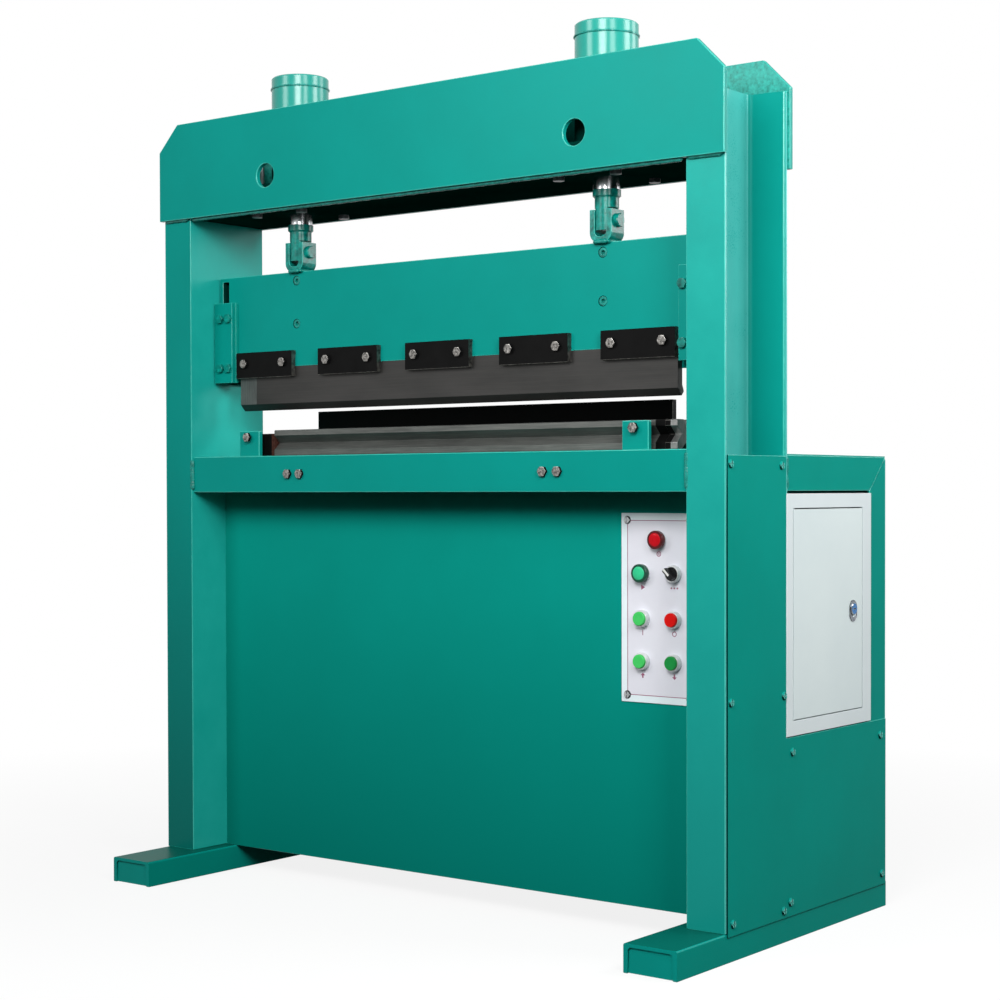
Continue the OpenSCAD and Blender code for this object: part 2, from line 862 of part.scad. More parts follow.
// Punch section: straight blade, bevelled in front, with a stiffer nose behind its tip
module punch() {
    nose = 4.5;
    color(GUNMETAL) placed() along_x(-punch_w / 2, punch_w / 2) polygon([
        [punch_y, ram_low], [punch_y, tip_z + punch_bevel], [tip_y - tip_half, tip_z],
        [tip_y + tip_half, tip_z], [punch_back + nose, tip_z + 6.5], [punch_back + nose, tip_z + 9],
        [punch_back, tip_z + 18], [punch_back, ram_low]
    ]);
}

// Guides

module at_guide_bolts(y, columns) {
    both_sides() for (x = columns, z = [guide_bolt_low, guide_bolt_low + guide_bolt_gap])
        facing_back(x, y, z) children();
}

module guide_strip_shape(y, t, inner) {
    block([inner, y, guide_low], [guide_out, y + t, guide_low + guide_h]);
}

module guide_plates() {
    color(TEAL) placed() difference() {
        both_sides() guide_strip_shape(guide_plate_y, guide_t, guide_out - guide_w);
        at_guide_bolts(guide_plate_y - cut, [guide_bolt_out, guide_bolt_in])
            cylinder(d = bolt_d + hole_gap, h = guide_t + 2 * cut);
    }
}

module wear_strips() {
    color(STEEL) placed() difference() {
        both_sides() guide_strip_shape(guide_plate_y + guide_t, strip_t, guide_out - guide_w - 3);
        at_guide_bolts(guide_plate_y, [guide_bolt_out]) cylinder(d = bolt_d + hole_gap, h = guide_t + strip_t + cut);
        at_guide_bolts(guide_plate_y, [guide_bolt_in]) cylinder(d = bolt_d + hole_gap, h = guide_t + strip_t - 1.5);
    }
}

// Angle on each column web that the guide plates bolt to, behind the ram
module guide_brackets() {
    z0 = guide_low;
    z1 = ram_top - 1;
    color(TEAL) placed() difference() {
        both_sides() translate([0, 0, z0]) linear_extrude(height = z1 - z0) polygon(concat(
            [[web_x, bracket_y], [web_x, bracket_y + bracket_deep], [web_x - bracket_t, bracket_y + bracket_deep]],
            arc(web_x - bracket_t - 6, bracket_y + bracket_t + 6, 6, 0, -90),
            [[web_x - bracket_leg, bracket_y + bracket_t], [web_x - bracket_leg, bracket_y]]
        ));
        at_guide_bolts(bracket_y - cut, [guide_bolt_out]) cylinder(d = bolt_d + hole_gap, h = bracket_t + 2 * cut);
    }
}

// Long bolts through the ram's slots, each with its spacer sleeve, and short bolts in the wear strips
module guide_bolts() {
    sleeve_y = guide_back_y;
    span = bracket_y + bracket_t - guide_plate_y;
    color(STEEL) placed() {
        at_guide_bolts(guide_plate_y, [guide_bolt_out]) hex_bolt(bolt_d, span - 0.5);
        at_guide_bolts(guide_plate_y, [guide_bolt_in]) hex_bolt(bolt_d, guide_t + strip_t - 2);
        at_guide_bolts(sleeve_y, [guide_bolt_out]) difference() {
            cylinder(d = sleeve_d, h = bracket_y - sleeve_y);
            translate([0, 0, -cut]) cylinder(d = bolt_d + hole_gap, h = bracket_y - sleeve_y + 2 * cut);
        }
    }
}

// Bench, beams and die

module at_beam_bolts(y) {
    both_sides() for (x = beam_bolt_x) facing_back(x, y, beam_bolt_z) children();
}

module front_beam() {
    color(TEAL) placed() difference() {
        block([-web_x, beam_y, beam_low], [web_x, bench_y, bench_z - 0.5]);
        at_beam_bolts(beam_y - cut) cylinder(d = bolt_d + hole_gap, h = beam_t + 2 * cut);
    }
}

module bench_slab() {
    color(TEAL) placed() difference() {
        block([-web_x, bench_y, bench_z - bench_t], [web_x, bench_back, bench_z]);
        at_beam_bolts(bench_y - cut) cylinder(d = bolt_d + hole_gap, h = 25 + cut);
    }
}

module rear_beam() {
    color(TEAL) placed() block([-web_x, bench_back, bench_z - rear_beam_h], [web_x, bench_back + beam_t, bench_z]);
}

module panel_fittings_holes(y, t, d) {
    for (p = fittings) facing_back(p[0], y - cut, p[1]) cylinder(d = d, h = t + 2 * cut);
}

module front_sheet() {
    color(TEAL) placed() difference() {
        block([-web_x, sheet_y, foot_h], [web_x, sheet_y + sheet_t, bench_z - bench_t]);
        panel_fittings_holes(sheet_y, sheet_t, neck_d + hole_gap);
        at_panel_screws(sheet_y - cut) cylinder(d = small_screw_d + hole_gap, h = sheet_t + 2 * cut);
    }
}

module die_tabs() {
    color(TEAL) placed() difference() {
        both_sides() block([tab_x - tab_w / 2, tab_y, bench_z], [tab_x + tab_w / 2, tab_y + tab_t, bench_z + tab_h]);
        both_sides() facing_back(tab_x, tab_y - cut, screw_z) cylinder(d = bolt_d + hole_gap, h = tab_t + 2 * cut);
    }
}

// Bolts of the front beam, and the tab screws: the right one bears on the die, the left one on the
// step of the stop block
module bench_bolts() {
    out = 4;
    color(STEEL) placed() {
        at_beam_bolts(beam_y) hex_bolt(bolt_d, beam_t + 22);
        facing_back(tab_x, tab_y - out, screw_z) hex_bolt(bolt_d, die_y - tab_y + out);
        facing_back(-tab_x, tab_y - out, screw_z) hex_bolt(bolt_d, tab_screw_reach + out);
    }
}

// Four-way die section: one V in each side
module die_profile() {
    y1 = die_y + die_d;
    z0 = bench_z;
    z1 = die_top;
    front_z = bench_z + 26;
    mid_y = die_y + die_d / 2;
    mid_z = bench_z + die_h / 2;
    bevel = 1.5;
    polygon([
        [die_y + bevel, z0],
        [mid_y - rear_vee_w / 2, z0], [mid_y, z0 + vee_depth(rear_vee_w)], [mid_y + rear_vee_w / 2, z0],
        [y1 - bevel, z0], [y1, z0 + bevel],
        [y1, mid_z - rear_vee_w / 2], [y1 - vee_depth(rear_vee_w), mid_z], [y1, mid_z + rear_vee_w / 2],
        [y1, z1 - bevel], [y1 - bevel, z1],
        [tip_y + vee_w / 2, z1], [tip_y, z1 - vee_depth(vee_w)], [tip_y - vee_w / 2, z1],
        [die_y + bevel, z1], [die_y, z1 - bevel],
        [die_y, front_z + front_vee_w / 2], [die_y + vee_depth(front_vee_w), front_z],
        [die_y, front_z - front_vee_w / 2],
        [die_y, z0 + bevel]
    ]);
}

module lower_die() {
    color(GUNMETAL) placed() along_x(-die_left, die_right) die_profile();
}

// Stepped stop block at the left end and a short die section at the right end
module die_end_blocks() {
    step_y = tab_y + tab_screw_reach;
    back_y = die_y + die_d;
    stop_x = -die_left - stop_len;
    color(GUNMETAL) placed() {
        along_x(die_right, die_right + die_short) die_profile();
        difference() {
            block([-tab_x - tab_w / 2, die_y + 2, bench_z], [-die_left, back_y, bench_z + stop_h]);
            block([-tab_x - tab_w, die_y, bench_z - cut], [stop_x, step_y, bench_z + die_h]);
        }
    }
}

// Back gauge

module gauge_bar() {
    low = gauge_rod_z + sleeve_h / 2;
    color(BLACK) placed() block([-gauge_w / 2, gauge_y, low], [gauge_w / 2, gauge_y + gauge_t, bench_z + gauge_up]);
}

module gauge_sleeves() {
    color(STEEL) placed() both_sides() difference() {
        union() {
            block([gauge_rod_x - sleeve_w / 2, gauge_y, gauge_rod_z - sleeve_h / 2],
                [gauge_rod_x + sleeve_w / 2, gauge_y + sleeve_len, gauge_rod_z + sleeve_h / 2]);
            block([gauge_rod_x - 4, gauge_y + gauge_t, gauge_rod_z],
                [gauge_rod_x + 4, gauge_y + gauge_t + 22, bench_z + gauge_up - 10]);
        }
        facing_back(gauge_rod_x, gauge_y - cut, gauge_rod_z)
            cylinder(d = gauge_rod_d + bore_fit, h = sleeve_len + 2 * cut);
    }
}

// Each rod with its two end blocks
module gauge_rods() {
    top = gauge_rod_z + 15;
    color(STEEL) placed() both_sides() {
        facing_back(gauge_rod_x, front_block_y, gauge_rod_z)
            cylinder(d = gauge_rod_d, h = rear_block_y + rod_block_len - front_block_y);
        for (p = [[front_block_y, bench_z], [rear_block_y, housing_top + sheet_t]])
            block([gauge_rod_x - rod_block_w / 2, p[0], p[1]],
                [gauge_rod_x + rod_block_w / 2, p[0] + rod_block_len, top]);
    }
}

// Rear housing

// Angle posts at the rear corners: the side leg fills the width behind the electric box frame and is
// mitred where the side rail meets it
module housing_posts() {
    color(TEAL) placed() both_sides() {
        along_x(side_x - angle_t, side_x) polygon([
            [post_y, foot_h], [housing_back, foot_h], [housing_back, housing_top], [post_y, housing_top - angle_leg]
        ]);
        block([side_x - angle_leg, housing_back - angle_t, foot_h],
            [side_x - angle_t, housing_back, housing_top - angle_leg]);
    }
}

// Side and rear top rails, and the two bars on the feet that carry the power pack
module housing_rails() {
    low = housing_top - angle_leg;
    inner = housing_back - angle_leg;
    color(TEAL) placed() {
        both_sides() {
            along_x(side_x - angle_t, side_x) polygon([
                [column_depth, low], [post_y, low], [housing_back, housing_top], [column_depth, housing_top]
            ]);
            block([side_x - angle_leg, column_depth, housing_top - angle_t], [side_x - angle_t, inner, housing_top]);
        }
        block([angle_t - side_x, housing_back - angle_t, low], [side_x - angle_t, housing_back, housing_top]);
        block([angle_t - side_x, inner, housing_top - angle_t],
            [side_x - angle_t, housing_back - angle_t, housing_top]);
        for (y = [tank_y + 15, tank_y + tank_d - 55])
            block([-foot_x - foot_w / 2, y, rail_low], [foot_x + foot_w / 2, y + 40, rail_low + rail_t]);
    }
}

// Y and Z of the screws in the right cover, then in the left one
right_screws = [
    [cover_front + 9, cover_top - 14.5], [box_y - 16, cover_top - 16],
    [cover_front + 10, cover_mid - 10.5], [box_y - 8, cover_mid - 13.5],
    [box_y + 21, cover_step - 25], [housing_back - 22, cover_step - 28],
    [housing_back - 15, cover_low + 20.5], [box_y + 14.6, cover_low + 24],
    [cover_front + 16, cover_low + 19.7]
];
left_screws = [
    for (y = [cover_front + 10, box_y - 8, housing_back - 15], z = [cover_low + 21, cover_mid, cover_top - 15]) [y, z]
];
rear_screws = [
    for (x = [-1, 0, 1], z = [foot_h + 40, housing_top - 30]) [x * (side_x - 30), z]
];
small_screw_d = 5;

module screw_holes_right(list) {
    for (p = list) facing_right(side_x - cut, p[0], p[1]) cylinder(d = small_screw_d + hole_gap, h = sheet_t + 2 * cut);
}

module right_side_cover() {
    color(TEAL) placed() difference() {
        along_x(side_x, side_x + sheet_t) polygon([
            [cover_front, cover_low], [housing_back, cover_low], [housing_back, cover_step],
            [box_y - 0.5, cover_step], [box_y - 0.5, cover_top], [cover_front, cover_top]
        ]);
        screw_holes_right(right_screws);
    }
}

module left_side_cover() {
    color(TEAL) placed() mirror([1, 0, 0]) difference() {
        block([side_x, cover_front, cover_low], [side_x + sheet_t, housing_back, cover_top]);
        screw_holes_right(left_screws);
    }
}

// Rear sheet with two fields of air slots for the power pack
module rear_cover() {
    slot_l = 90;
    slot_w = 8;
    color(TEAL) placed() difference() {
        block([-side_x, housing_back, foot_h + 14], [side_x, housing_back + sheet_t, housing_top - 4]);
        for (field = [-1, 1], col = [-1, 1], row = [0:5])
            translate([field * web_x / 2 + col * (slot_l + 30) / 2 - slot_l / 2, housing_back - cut,
                housing_top - 340 + row * 3 * slot_w]) cube([slot_l, sheet_t + 2 * cut, slot_w]);
        for (p = rear_screws) facing_back(p[0], housing_back - cut, p[1])
            cylinder(d = small_screw_d + hole_gap, h = sheet_t + 2 * cut);
    }
}

module top_cover() {
    color(TEAL) placed() block([-side_x, column_depth, housing_top], [side_x, housing_back, housing_top + sheet_t]);
}

module at_panel_screws(y) {
    for (dx = [-1, 1], dz = [-1, 1])
        facing_back(panel_x + dx * (panel_w / 2 - panel_screw_in), y, panel_z + dz * (panel_h / 2 - panel_screw_in))
            children();
}

// Sheet metal screws of the covers and the panel plate
module cover_screws() {
    long = sheet_t + 4;
    color(STEEL) placed() {
        for (p = right_screws) translate([side_x + sheet_t, p[0], p[1]]) rotate([0, -90, 0])
            pan_screw(small_screw_d, sheet_t - 0.2);
        mirror([1, 0, 0]) for (p = left_screws) translate([side_x + sheet_t, p[0], p[1]]) rotate([0, -90, 0])
            pan_screw(small_screw_d, sheet_t - 0.2);
        for (p = rear_screws) facing_front(p[0], housing_back + sheet_t, p[1]) pan_screw(small_screw_d, sheet_t - 0.2);
        at_panel_screws(panel_y) pan_screw(small_screw_d, long);
    }
}

// Electric box

// Folded box, its face frame, and the inner fold that the hinge pins stand in
module electric_box() {
    y1 = box_y + box_w;
    z1 = box_z + box_h;
    body_in = 12;
    oy = door_y - door_gap;
    oz = door_z - door_gap;
    oy1 = door_y + door_w + door_gap;
    oz1 = door_z + door_h + door_gap;
    color(PALE) placed() difference() {
        union() {
            block([side_x, box_y, box_z], [box_face, y1, z1]);
            block([side_x - box_deep, box_y + body_in, box_z + body_in], [side_x, y1 - body_in, z1 - body_in]);
        }
        difference() {
            block([side_x - box_deep + box_t, box_y + body_in + box_t, box_z + body_in + box_t],
                [side_x, y1 - body_in - box_t, z1 - body_in - box_t]);
            difference() {
                block([fold_x, oy - box_t, oz - box_t], [side_x + cut, oy1 + box_t, oz1 + box_t]);
                block([fold_x - cut, oy, oz], [side_x + 2 * cut, oy1, oz1]);
            }
        }
        block([side_x - cut, oy, oz], [box_face + cut, oy1, oz1]);
    }
    color(STEEL) placed() for (z = [oz - box_t, oz1 - 6]) translate([hinge_x, hinge_y, z])
        cylinder(d = hinge_d, h = 6 + box_t);
}

// Back plate with rail-mounted contactors, a relay, a transformer and a terminal row
module switchgear() {
    x0 = side_x - box_deep + box_t;
    plate_in = 27;
    plate_up = 30;
    y0 = box_y + plate_in;
    z0 = box_z + plate_up;
    plate_w = box_w - 2 * plate_in;
    plate_h = box_h - 2 * plate_up;
    rail_x = x0 + 12;
    color(STEEL) placed() {
        block([x0, y0, z0], [x0 + 2, y0 + plate_w, z0 + plate_h]);
        for (z = [z0 + plate_h - 90, z0 + plate_h - 200])
            block([x0 + 2, y0 + 10, z], [rail_x, y0 + plate_w - 10, z + 35]);
    }
    color(BLACK) placed() {
        for (i = [0:2]) block([rail_x, y0 + 20 + i * 52, z0 + plate_h - 112], [rail_x + 78, y0 + 65 + i * 52, z0 + plate_h - 32]);
        block([rail_x, y0 + 180, z0 + plate_h - 107], [rail_x + 60, y0 + 205, z0 + plate_h - 37]);
    }
    color(PALE) placed() {
        for (i = [0:9]) block([rail_x, y0 + 18 + i * 12.4, z0 + plate_h - 208], [rail_x + 40, y0 + 30 + i * 12.4, z0 + plate_h - 158]);
        block([x0 + 2, y0 + 20, z0 + 14], [x0 + 82, y0 + 110, z0 + 90]);
        block([x0 + 2, y0 + 140, z0 + 14], [x0 + 62, y0 + 215, z0 + 84]);
    }
}

// Folded door with the rose of its lock
module cabinet_door() {
    y1 = door_y + door_w;
    z1 = door_z + door_h;
    x0 = box_face - door_fold;
    color(PALE) placed() difference() {
        union() {
            block([x0, door_y, door_z], [box_face, y1, z1]);
            for (side = [-1, 1]) facing_right(box_face, lock_y, lock_z + side * (lock_h - lock_d) / 2)
                cylinder(d = lock_d, h = rose_t);
            block([box_face, lock_y - lock_d / 2, lock_z - (lock_h - lock_d) / 2],
                [box_face + rose_t, lock_y + lock_d / 2, lock_z + (lock_h - lock_d) / 2]);
        }
        block([x0 - cut, door_y + box_t, door_z + box_t], [box_face - box_t, y1 - box_t, z1 - box_t]);
        for (z = [door_z - cut, z1 - 8]) translate([hinge_x, hinge_y, z]) cylinder(d = hinge_d + bore_fit, h = 8 + cut);
        facing_right(box_face - 2 * box_t, lock_y, lock_z)
            cylinder(d = lock_d - 4 + 2 * bore_fit, h = 2 * box_t + rose_t + cut);
    }
}

// Quarter-turn lock with a cam that hangs down when it is open
module door_lock() {
    out = 3.5;
    cam_l = 46;
    color(CHROME) placed() {
        facing_right(box_face, lock_y, lock_z) difference() {
            union() {
                translate([0, 0, cam_x - box_face]) cylinder(d = lock_d - 4, h = box_face - cam_x + out - 1);
                translate([0, 0, out - 1]) cylinder(d1 = lock_d - 4, d2 = lock_d - 6, h = 1);
            }
            translate([-1, -4, out - 2]) cube([2, 8, 2 + cut]);
        }
        block([cam_x - 2, lock_y - 7, lock_z - cam_l], [cam_x, lock_y + 7, lock_z + 7]);
    }
}

// Control panel

fittings = [
    [panel_x + 1.5, lamp_z],
    [left_col, row_z[0]], [right_col, row_z[0]],
    [left_col, row_z[1]], [right_col, row_z[1]],
    [left_col, row_z[2]], [right_col, row_z[2]]
];

module panel_plate() {
    color(PALE) placed() difference() {
        block([panel_x - panel_w / 2, panel_y, panel_z - panel_h / 2],
            [panel_x + panel_w / 2, sheet_y, panel_z + panel_h / 2]);
        panel_fittings_holes(panel_y, sheet_t, neck_d + hole_gap);
        at_panel_screws(panel_y - cut) cylinder(d = small_screw_d + hole_gap, h = sheet_t + 2 * cut);
    }
}

// Bezel in front, threaded neck through the sheet, and the contact block behind
module button_bezels() {
    floor_z = -press - 1;
    back = -2 * sheet_t;
    color(STEEL) placed() for (p = fittings) facing_front(p[0], panel_y, p[1]) difference() {
        union() {
            cylinder(d = bezel_d, h = bezel_h - 2);
            translate([0, 0, bezel_h - 2]) cylinder(d1 = bezel_d, d2 = bezel_d - 2.5, h = 2);
            translate([0, 0, back - 8]) cylinder(d = neck_d, h = 8 - back);
            translate([-block_w / 2, -block_w / 2, back - 8 - block_l]) cube([block_w, block_w, block_l]);
            translate([0, 0, back - 5]) cylinder(d = bezel_d, h = 5 - seat, $fn = 6);
        }
        translate([0, 0, 0.5]) cylinder(d = cap_d + pocket_gap, h = bezel_h + cut);
        translate([0, 0, floor_z - 12]) cylinder(d = stem_d + pocket_gap, h = 13 - floor_z);
    }
}

// Push button whose cap stands in its bezel, with the stem behind it
module button(p) {
    facing_front(p[0], panel_y, p[1]) {
        translate([0, 0, press + 0.8]) cylinder(d = cap_d, h = bezel_h + cap_out - press - 1.8);
        translate([0, 0, bezel_h + cap_out - 1]) cylinder(d1 = cap_d, d2 = cap_d - 2, h = 1);
        translate([0, 0, -12]) cylinder(d = stem_d, h = 13 + press);
    }
}

// Lamp: a rim as wide as the bezel round a low domed lens
module lamp(p) {
    rim = bezel_h + seat;
    lens_d = bezel_d - 9;
    facing_front(p[0], panel_y, p[1]) {
        translate([0, 0, 0.5]) cylinder(d = cap_d, h = bezel_h);
        translate([0, 0, rim]) cylinder(d = bezel_d - 1, h = 2.5);
        translate([0, 0, rim + 2.5]) cylinder(d1 = bezel_d - 1, d2 = bezel_d - 3, h = 1);
        translate([0, 0, rim + 3.5]) cylinder(d1 = lens_d, d2 = lens_d - 3, h = 1);
        translate([0, 0, rim + 4.5]) cylinder(d1 = lens_d - 3, d2 = lens_d - 9, h = 0.7);
        translate([0, 0, -4]) cylinder(d = stem_d, h = 5);
    }
}

module power_lamp() {
    color("crimson") placed() lamp(fittings[0]);
}

module run_lamp() {
    color("seagreen") placed() lamp(fittings[1]);
}

// Two-position selector with a bar handle
module selector_knob() {
    grip_w = 8;
    color(BLACK) placed() facing_front(fittings[2][0], panel_y, fittings[2][1]) {
        translate([0, 0, 0.8]) cylinder(d = cap_d, h = bezel_h - 0.3);
        translate([0, 0, -10]) cylinder(d = stem_d, h = 11);
        rotate([0, 0, 45]) intersection() {
            translate([-grip_w / 2, -cap_d / 2, bezel_h]) cube([grip_w, cap_d, 12]);
            cylinder(d = cap_d, h = bezel_h + 20);
        }
    }
}

module start_button() {
    color("limegreen") placed() button(fittings[3]);
}

module stop_button() {
    color("red") placed() button(fittings[4]);
}

module up_button() {
    color("limegreen") placed() button(fittings[5]);
}

module down_button() {
    color("forestgreen") placed() button(fittings[6]);
}

// Power pack: tank, motor, pump, valve stack and the two oil lines to the cylinders

pipe_in_a = tank_top + 50;
pipe_in_b = pipe_in_a + 40;
line_a_x = -web_x - column_web_t - 45;
line_b_x = -web_x - column_web_t - 22;

// Welded tank with its filler cap and the valve stack on its lid
module oil_tank() {
    wall = 4;
    filler_d = 48;
    filler = [tank_x + tank_w - filler_d / 2 - 10, tank_y + filler_d, tank_top];
    color(DARK_TEAL) placed() {
        difference() {
            block([tank_x, tank_y, tank_z], [tank_x + tank_w, tank_y + tank_d, tank_top]);
            block([tank_x + wall, tank_y + wall, tank_z + wall],
                [tank_x + tank_w - wall, tank_y + tank_d - wall, tank_top - wall]);
            translate(filler - [0, 0, 2 * wall]) cylinder(d = filler_d - 16, h = 3 * wall);
        }
        translate(filler) cylinder(d = filler_d, h = 30);
        block([valve_x, valve_y, tank_top], [valve_x + valve_w, valve_y + valve_d, tank_top + valve_h]);
    }
}

// Finned motor on its foot, with the gear pump at its left end
module pump_motor() {
    fin_n = 16;
    color(STEEL) placed() facing_right(motor_x, motor_y, motor_z) {
        cylinder(d = motor_d - 14, h = motor_l);
        cylinder(d = motor_d, h = 14);
        translate([0, 0, motor_l - 50]) cylinder(d = motor_d, h = 50);
        for (i = [0:fin_n - 1]) rotate([0, 0, i * 360 / fin_n + 5])
            translate([motor_d / 2 - 12, -1.5, 10]) cube([12 - seat, 3, motor_l - 50]);
        translate([0, 0, -70]) cylinder(d = motor_d * 0.55, h = 70);
    }
    color(STEEL) placed() {
        block([motor_x + 40, motor_y - motor_d * 0.4, tank_top],
            [motor_x + motor_l - 70, motor_y + motor_d * 0.4, tank_top + 14]);
        block([motor_x + 50, motor_y - 12, tank_top + 14], [motor_x + motor_l - 80, motor_y + 12, motor_z - motor_d / 4]);
    }
}

// Lifting and lowering lines, each branched to both cylinders
module oil_lines() {
    run_a = column_top + 20;
    run_b = run_a + 20;
    ends_x = [valve_x + 25, valve_x + 65];
    jog_x = -web_x + 30;
    color(STEEL) placed() {
        pipe([
        [cyl_x, port_y - 5, port_low], [cyl_x, pipe_y, port_low], [jog_x, pipe_y, port_low],
        [jog_x, pipe_y, run_a], [line_a_x, pipe_y, run_a], [line_a_x, pipe_y, pipe_in_a],
        [ends_x[1], pipe_y, pipe_in_a], [ends_x[1], valve_y, pipe_in_a]
    ], pipe_d);
    pipe([[-cyl_x, port_y - 5, port_low], [-cyl_x, pipe_y, port_low]], pipe_d);
    pipe([
        [cyl_x, port_y - 5, port_high], [cyl_x, pipe_y, port_high], [cyl_x, pipe_y, run_b],
        [line_b_x, pipe_y, run_b], [line_b_x, pipe_y, pipe_in_b],
        [ends_x[0], pipe_y, pipe_in_b], [ends_x[0], valve_y, pipe_in_b]
    ], pipe_d);
    pipe([[-cyl_x, port_y - 5, port_high], [-cyl_x, pipe_y, port_high], [-cyl_x, pipe_y, run_b]], pipe_d);
    }
}

left_column();
right_column();
left_foot();
right_foot();
front_crown_plate();
rear_crown_plate();
cylinder_bed();
left_cylinder();
right_cylinder();
cylinder_glands();
cylinder_bolts();
front_beam();
bench_slab();
rear_beam();
front_sheet();
die_tabs();
bench_bolts();
lower_die();
die_end_blocks();
guide_brackets();
guide_plates();
wear_strips();
guide_bolts();
ram_plate();
ram_backing_bars();
ram_screws();
left_rod();
right_rod();
rod_ends();
clevises();
clevis_pins();
clamp_plates();
clamp_bolts();
punch();
gauge_bar();
gauge_sleeves();
gauge_rods();
housing_posts();
housing_rails();
right_side_cover();
left_side_cover();
rear_cover();
top_cover();
cover_screws();
electric_box();
switchgear();
cabinet_door();
door_lock();
panel_plate();
button_bezels();
power_lamp();
run_lamp();
selector_knob();
start_button();
stop_button();
up_button();
down_button();
oil_tank();
pump_motor();
oil_lines();
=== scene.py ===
"""Looks of a hydraulic press brake: sprayed steel frame, ground tooling, electric box and push-button panel.

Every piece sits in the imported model's frame, in metres: X to the operator's right, Y to the back, Z up.
"""

import json
import logging
import math
from contextlib import contextmanager
from dataclasses import dataclass, field, replace
from enum import Enum
from typing import Any, Callable, Iterable, Iterator, Sequence

import bmesh
import bpy
from mathutils import Matrix, Vector
from mathutils.noise import noise


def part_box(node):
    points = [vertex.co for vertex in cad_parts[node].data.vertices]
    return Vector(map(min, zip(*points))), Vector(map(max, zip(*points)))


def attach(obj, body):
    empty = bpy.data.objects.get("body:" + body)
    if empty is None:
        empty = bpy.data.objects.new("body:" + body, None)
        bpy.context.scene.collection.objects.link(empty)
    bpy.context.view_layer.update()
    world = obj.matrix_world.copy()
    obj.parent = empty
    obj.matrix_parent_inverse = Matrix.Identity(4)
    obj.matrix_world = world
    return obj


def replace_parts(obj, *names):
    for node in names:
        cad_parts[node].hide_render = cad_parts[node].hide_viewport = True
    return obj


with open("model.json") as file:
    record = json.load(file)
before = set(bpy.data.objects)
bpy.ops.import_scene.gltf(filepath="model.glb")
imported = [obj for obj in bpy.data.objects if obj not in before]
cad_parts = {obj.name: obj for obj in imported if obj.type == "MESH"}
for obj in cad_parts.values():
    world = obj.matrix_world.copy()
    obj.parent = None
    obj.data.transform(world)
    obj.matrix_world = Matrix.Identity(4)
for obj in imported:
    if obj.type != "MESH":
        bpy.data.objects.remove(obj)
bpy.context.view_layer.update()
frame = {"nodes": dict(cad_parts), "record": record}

log = logging.getLogger("press_brake")
MM = 0.001
# Share of a face's normal along an axis: above the first it looks that way, below the second it is a flank.
FACING, FLANK = 0.9, 0.5
# Smallest area of a wall, in square metres; the strips of a rounded corner are smaller.
WALL_AREA = 0.001
# Usual lowest and highest values of cloud noise, which runs from 0 to 1.
CLOUD_LOW, CLOUD_HIGH = 0.3, 0.7
# Points closer than this are one point, in metres.
SAME_PLACE = 0.00001
Colour = tuple[float, float, float, float]
Point2 = tuple[float, float]
Path = list[Vector]
Shape = tuple[list[Point2], list[Point2]]
Form = bmesh.types.BMesh
Face = bpy.types.MeshPolygon
Chosen = Callable[[Face], bool]
Socket = bpy.types.NodeSocket


# Materials


def linear(code: str) -> Colour:
    """Turns an sRGB hex colour into linear RGBA.

    Args:
        code: Colour such as "#0f8d80".

    Returns:
        Linear red, green and blue with an alpha of 1.
    """
    parts = [int(code[i : i + 2], 16) / 255 for i in (1, 3, 5)]
    flat = [c / 12.92 if c <= 0.04045 else ((c + 0.055) / 1.055) ** 2.4 for c in parts]
    return (flat[0], flat[1], flat[2], 1.0)


def add_node(
    tree: bpy.types.NodeTree,
    kind: str,
    inputs: dict[int | str, Any] | None = None,
    **settings: Any,
) -> bpy.types.Node:
    """Adds one node, with its settings, values and links.

    Args:
        tree: Node tree that gets the node.
        kind: Blender's name of the node type.
        inputs: Socket names or numbers, each with a value or with the output socket to link.
        settings: Properties of the node.

    Returns:
        The new node.
    """
    node = tree.nodes.new(kind)
    for key, value in settings.items():
        setattr(node, key, value)
    for key, value in (inputs or {}).items():
        if isinstance(value, bpy.types.NodeSocket):
            tree.links.new(value, node.inputs[key])
        else:
            node.inputs[key].default_value = value
    return node


def cleared(owner: bpy.types.Material | bpy.types.World) -> bpy.types.NodeTree:
    """Gives a material or world an empty node tree.

    Args:
        owner: The material or world.

    Returns:
        Its node tree.
    """
    owner.use_nodes = True
    owner.node_tree.nodes.clear()
    return owner.node_tree


def per_metre(size_mm: float) -> float:
    """Scale of a pattern that repeats every size_mm, for coordinates in metres."""
    return 1.0 / (size_mm * MM)


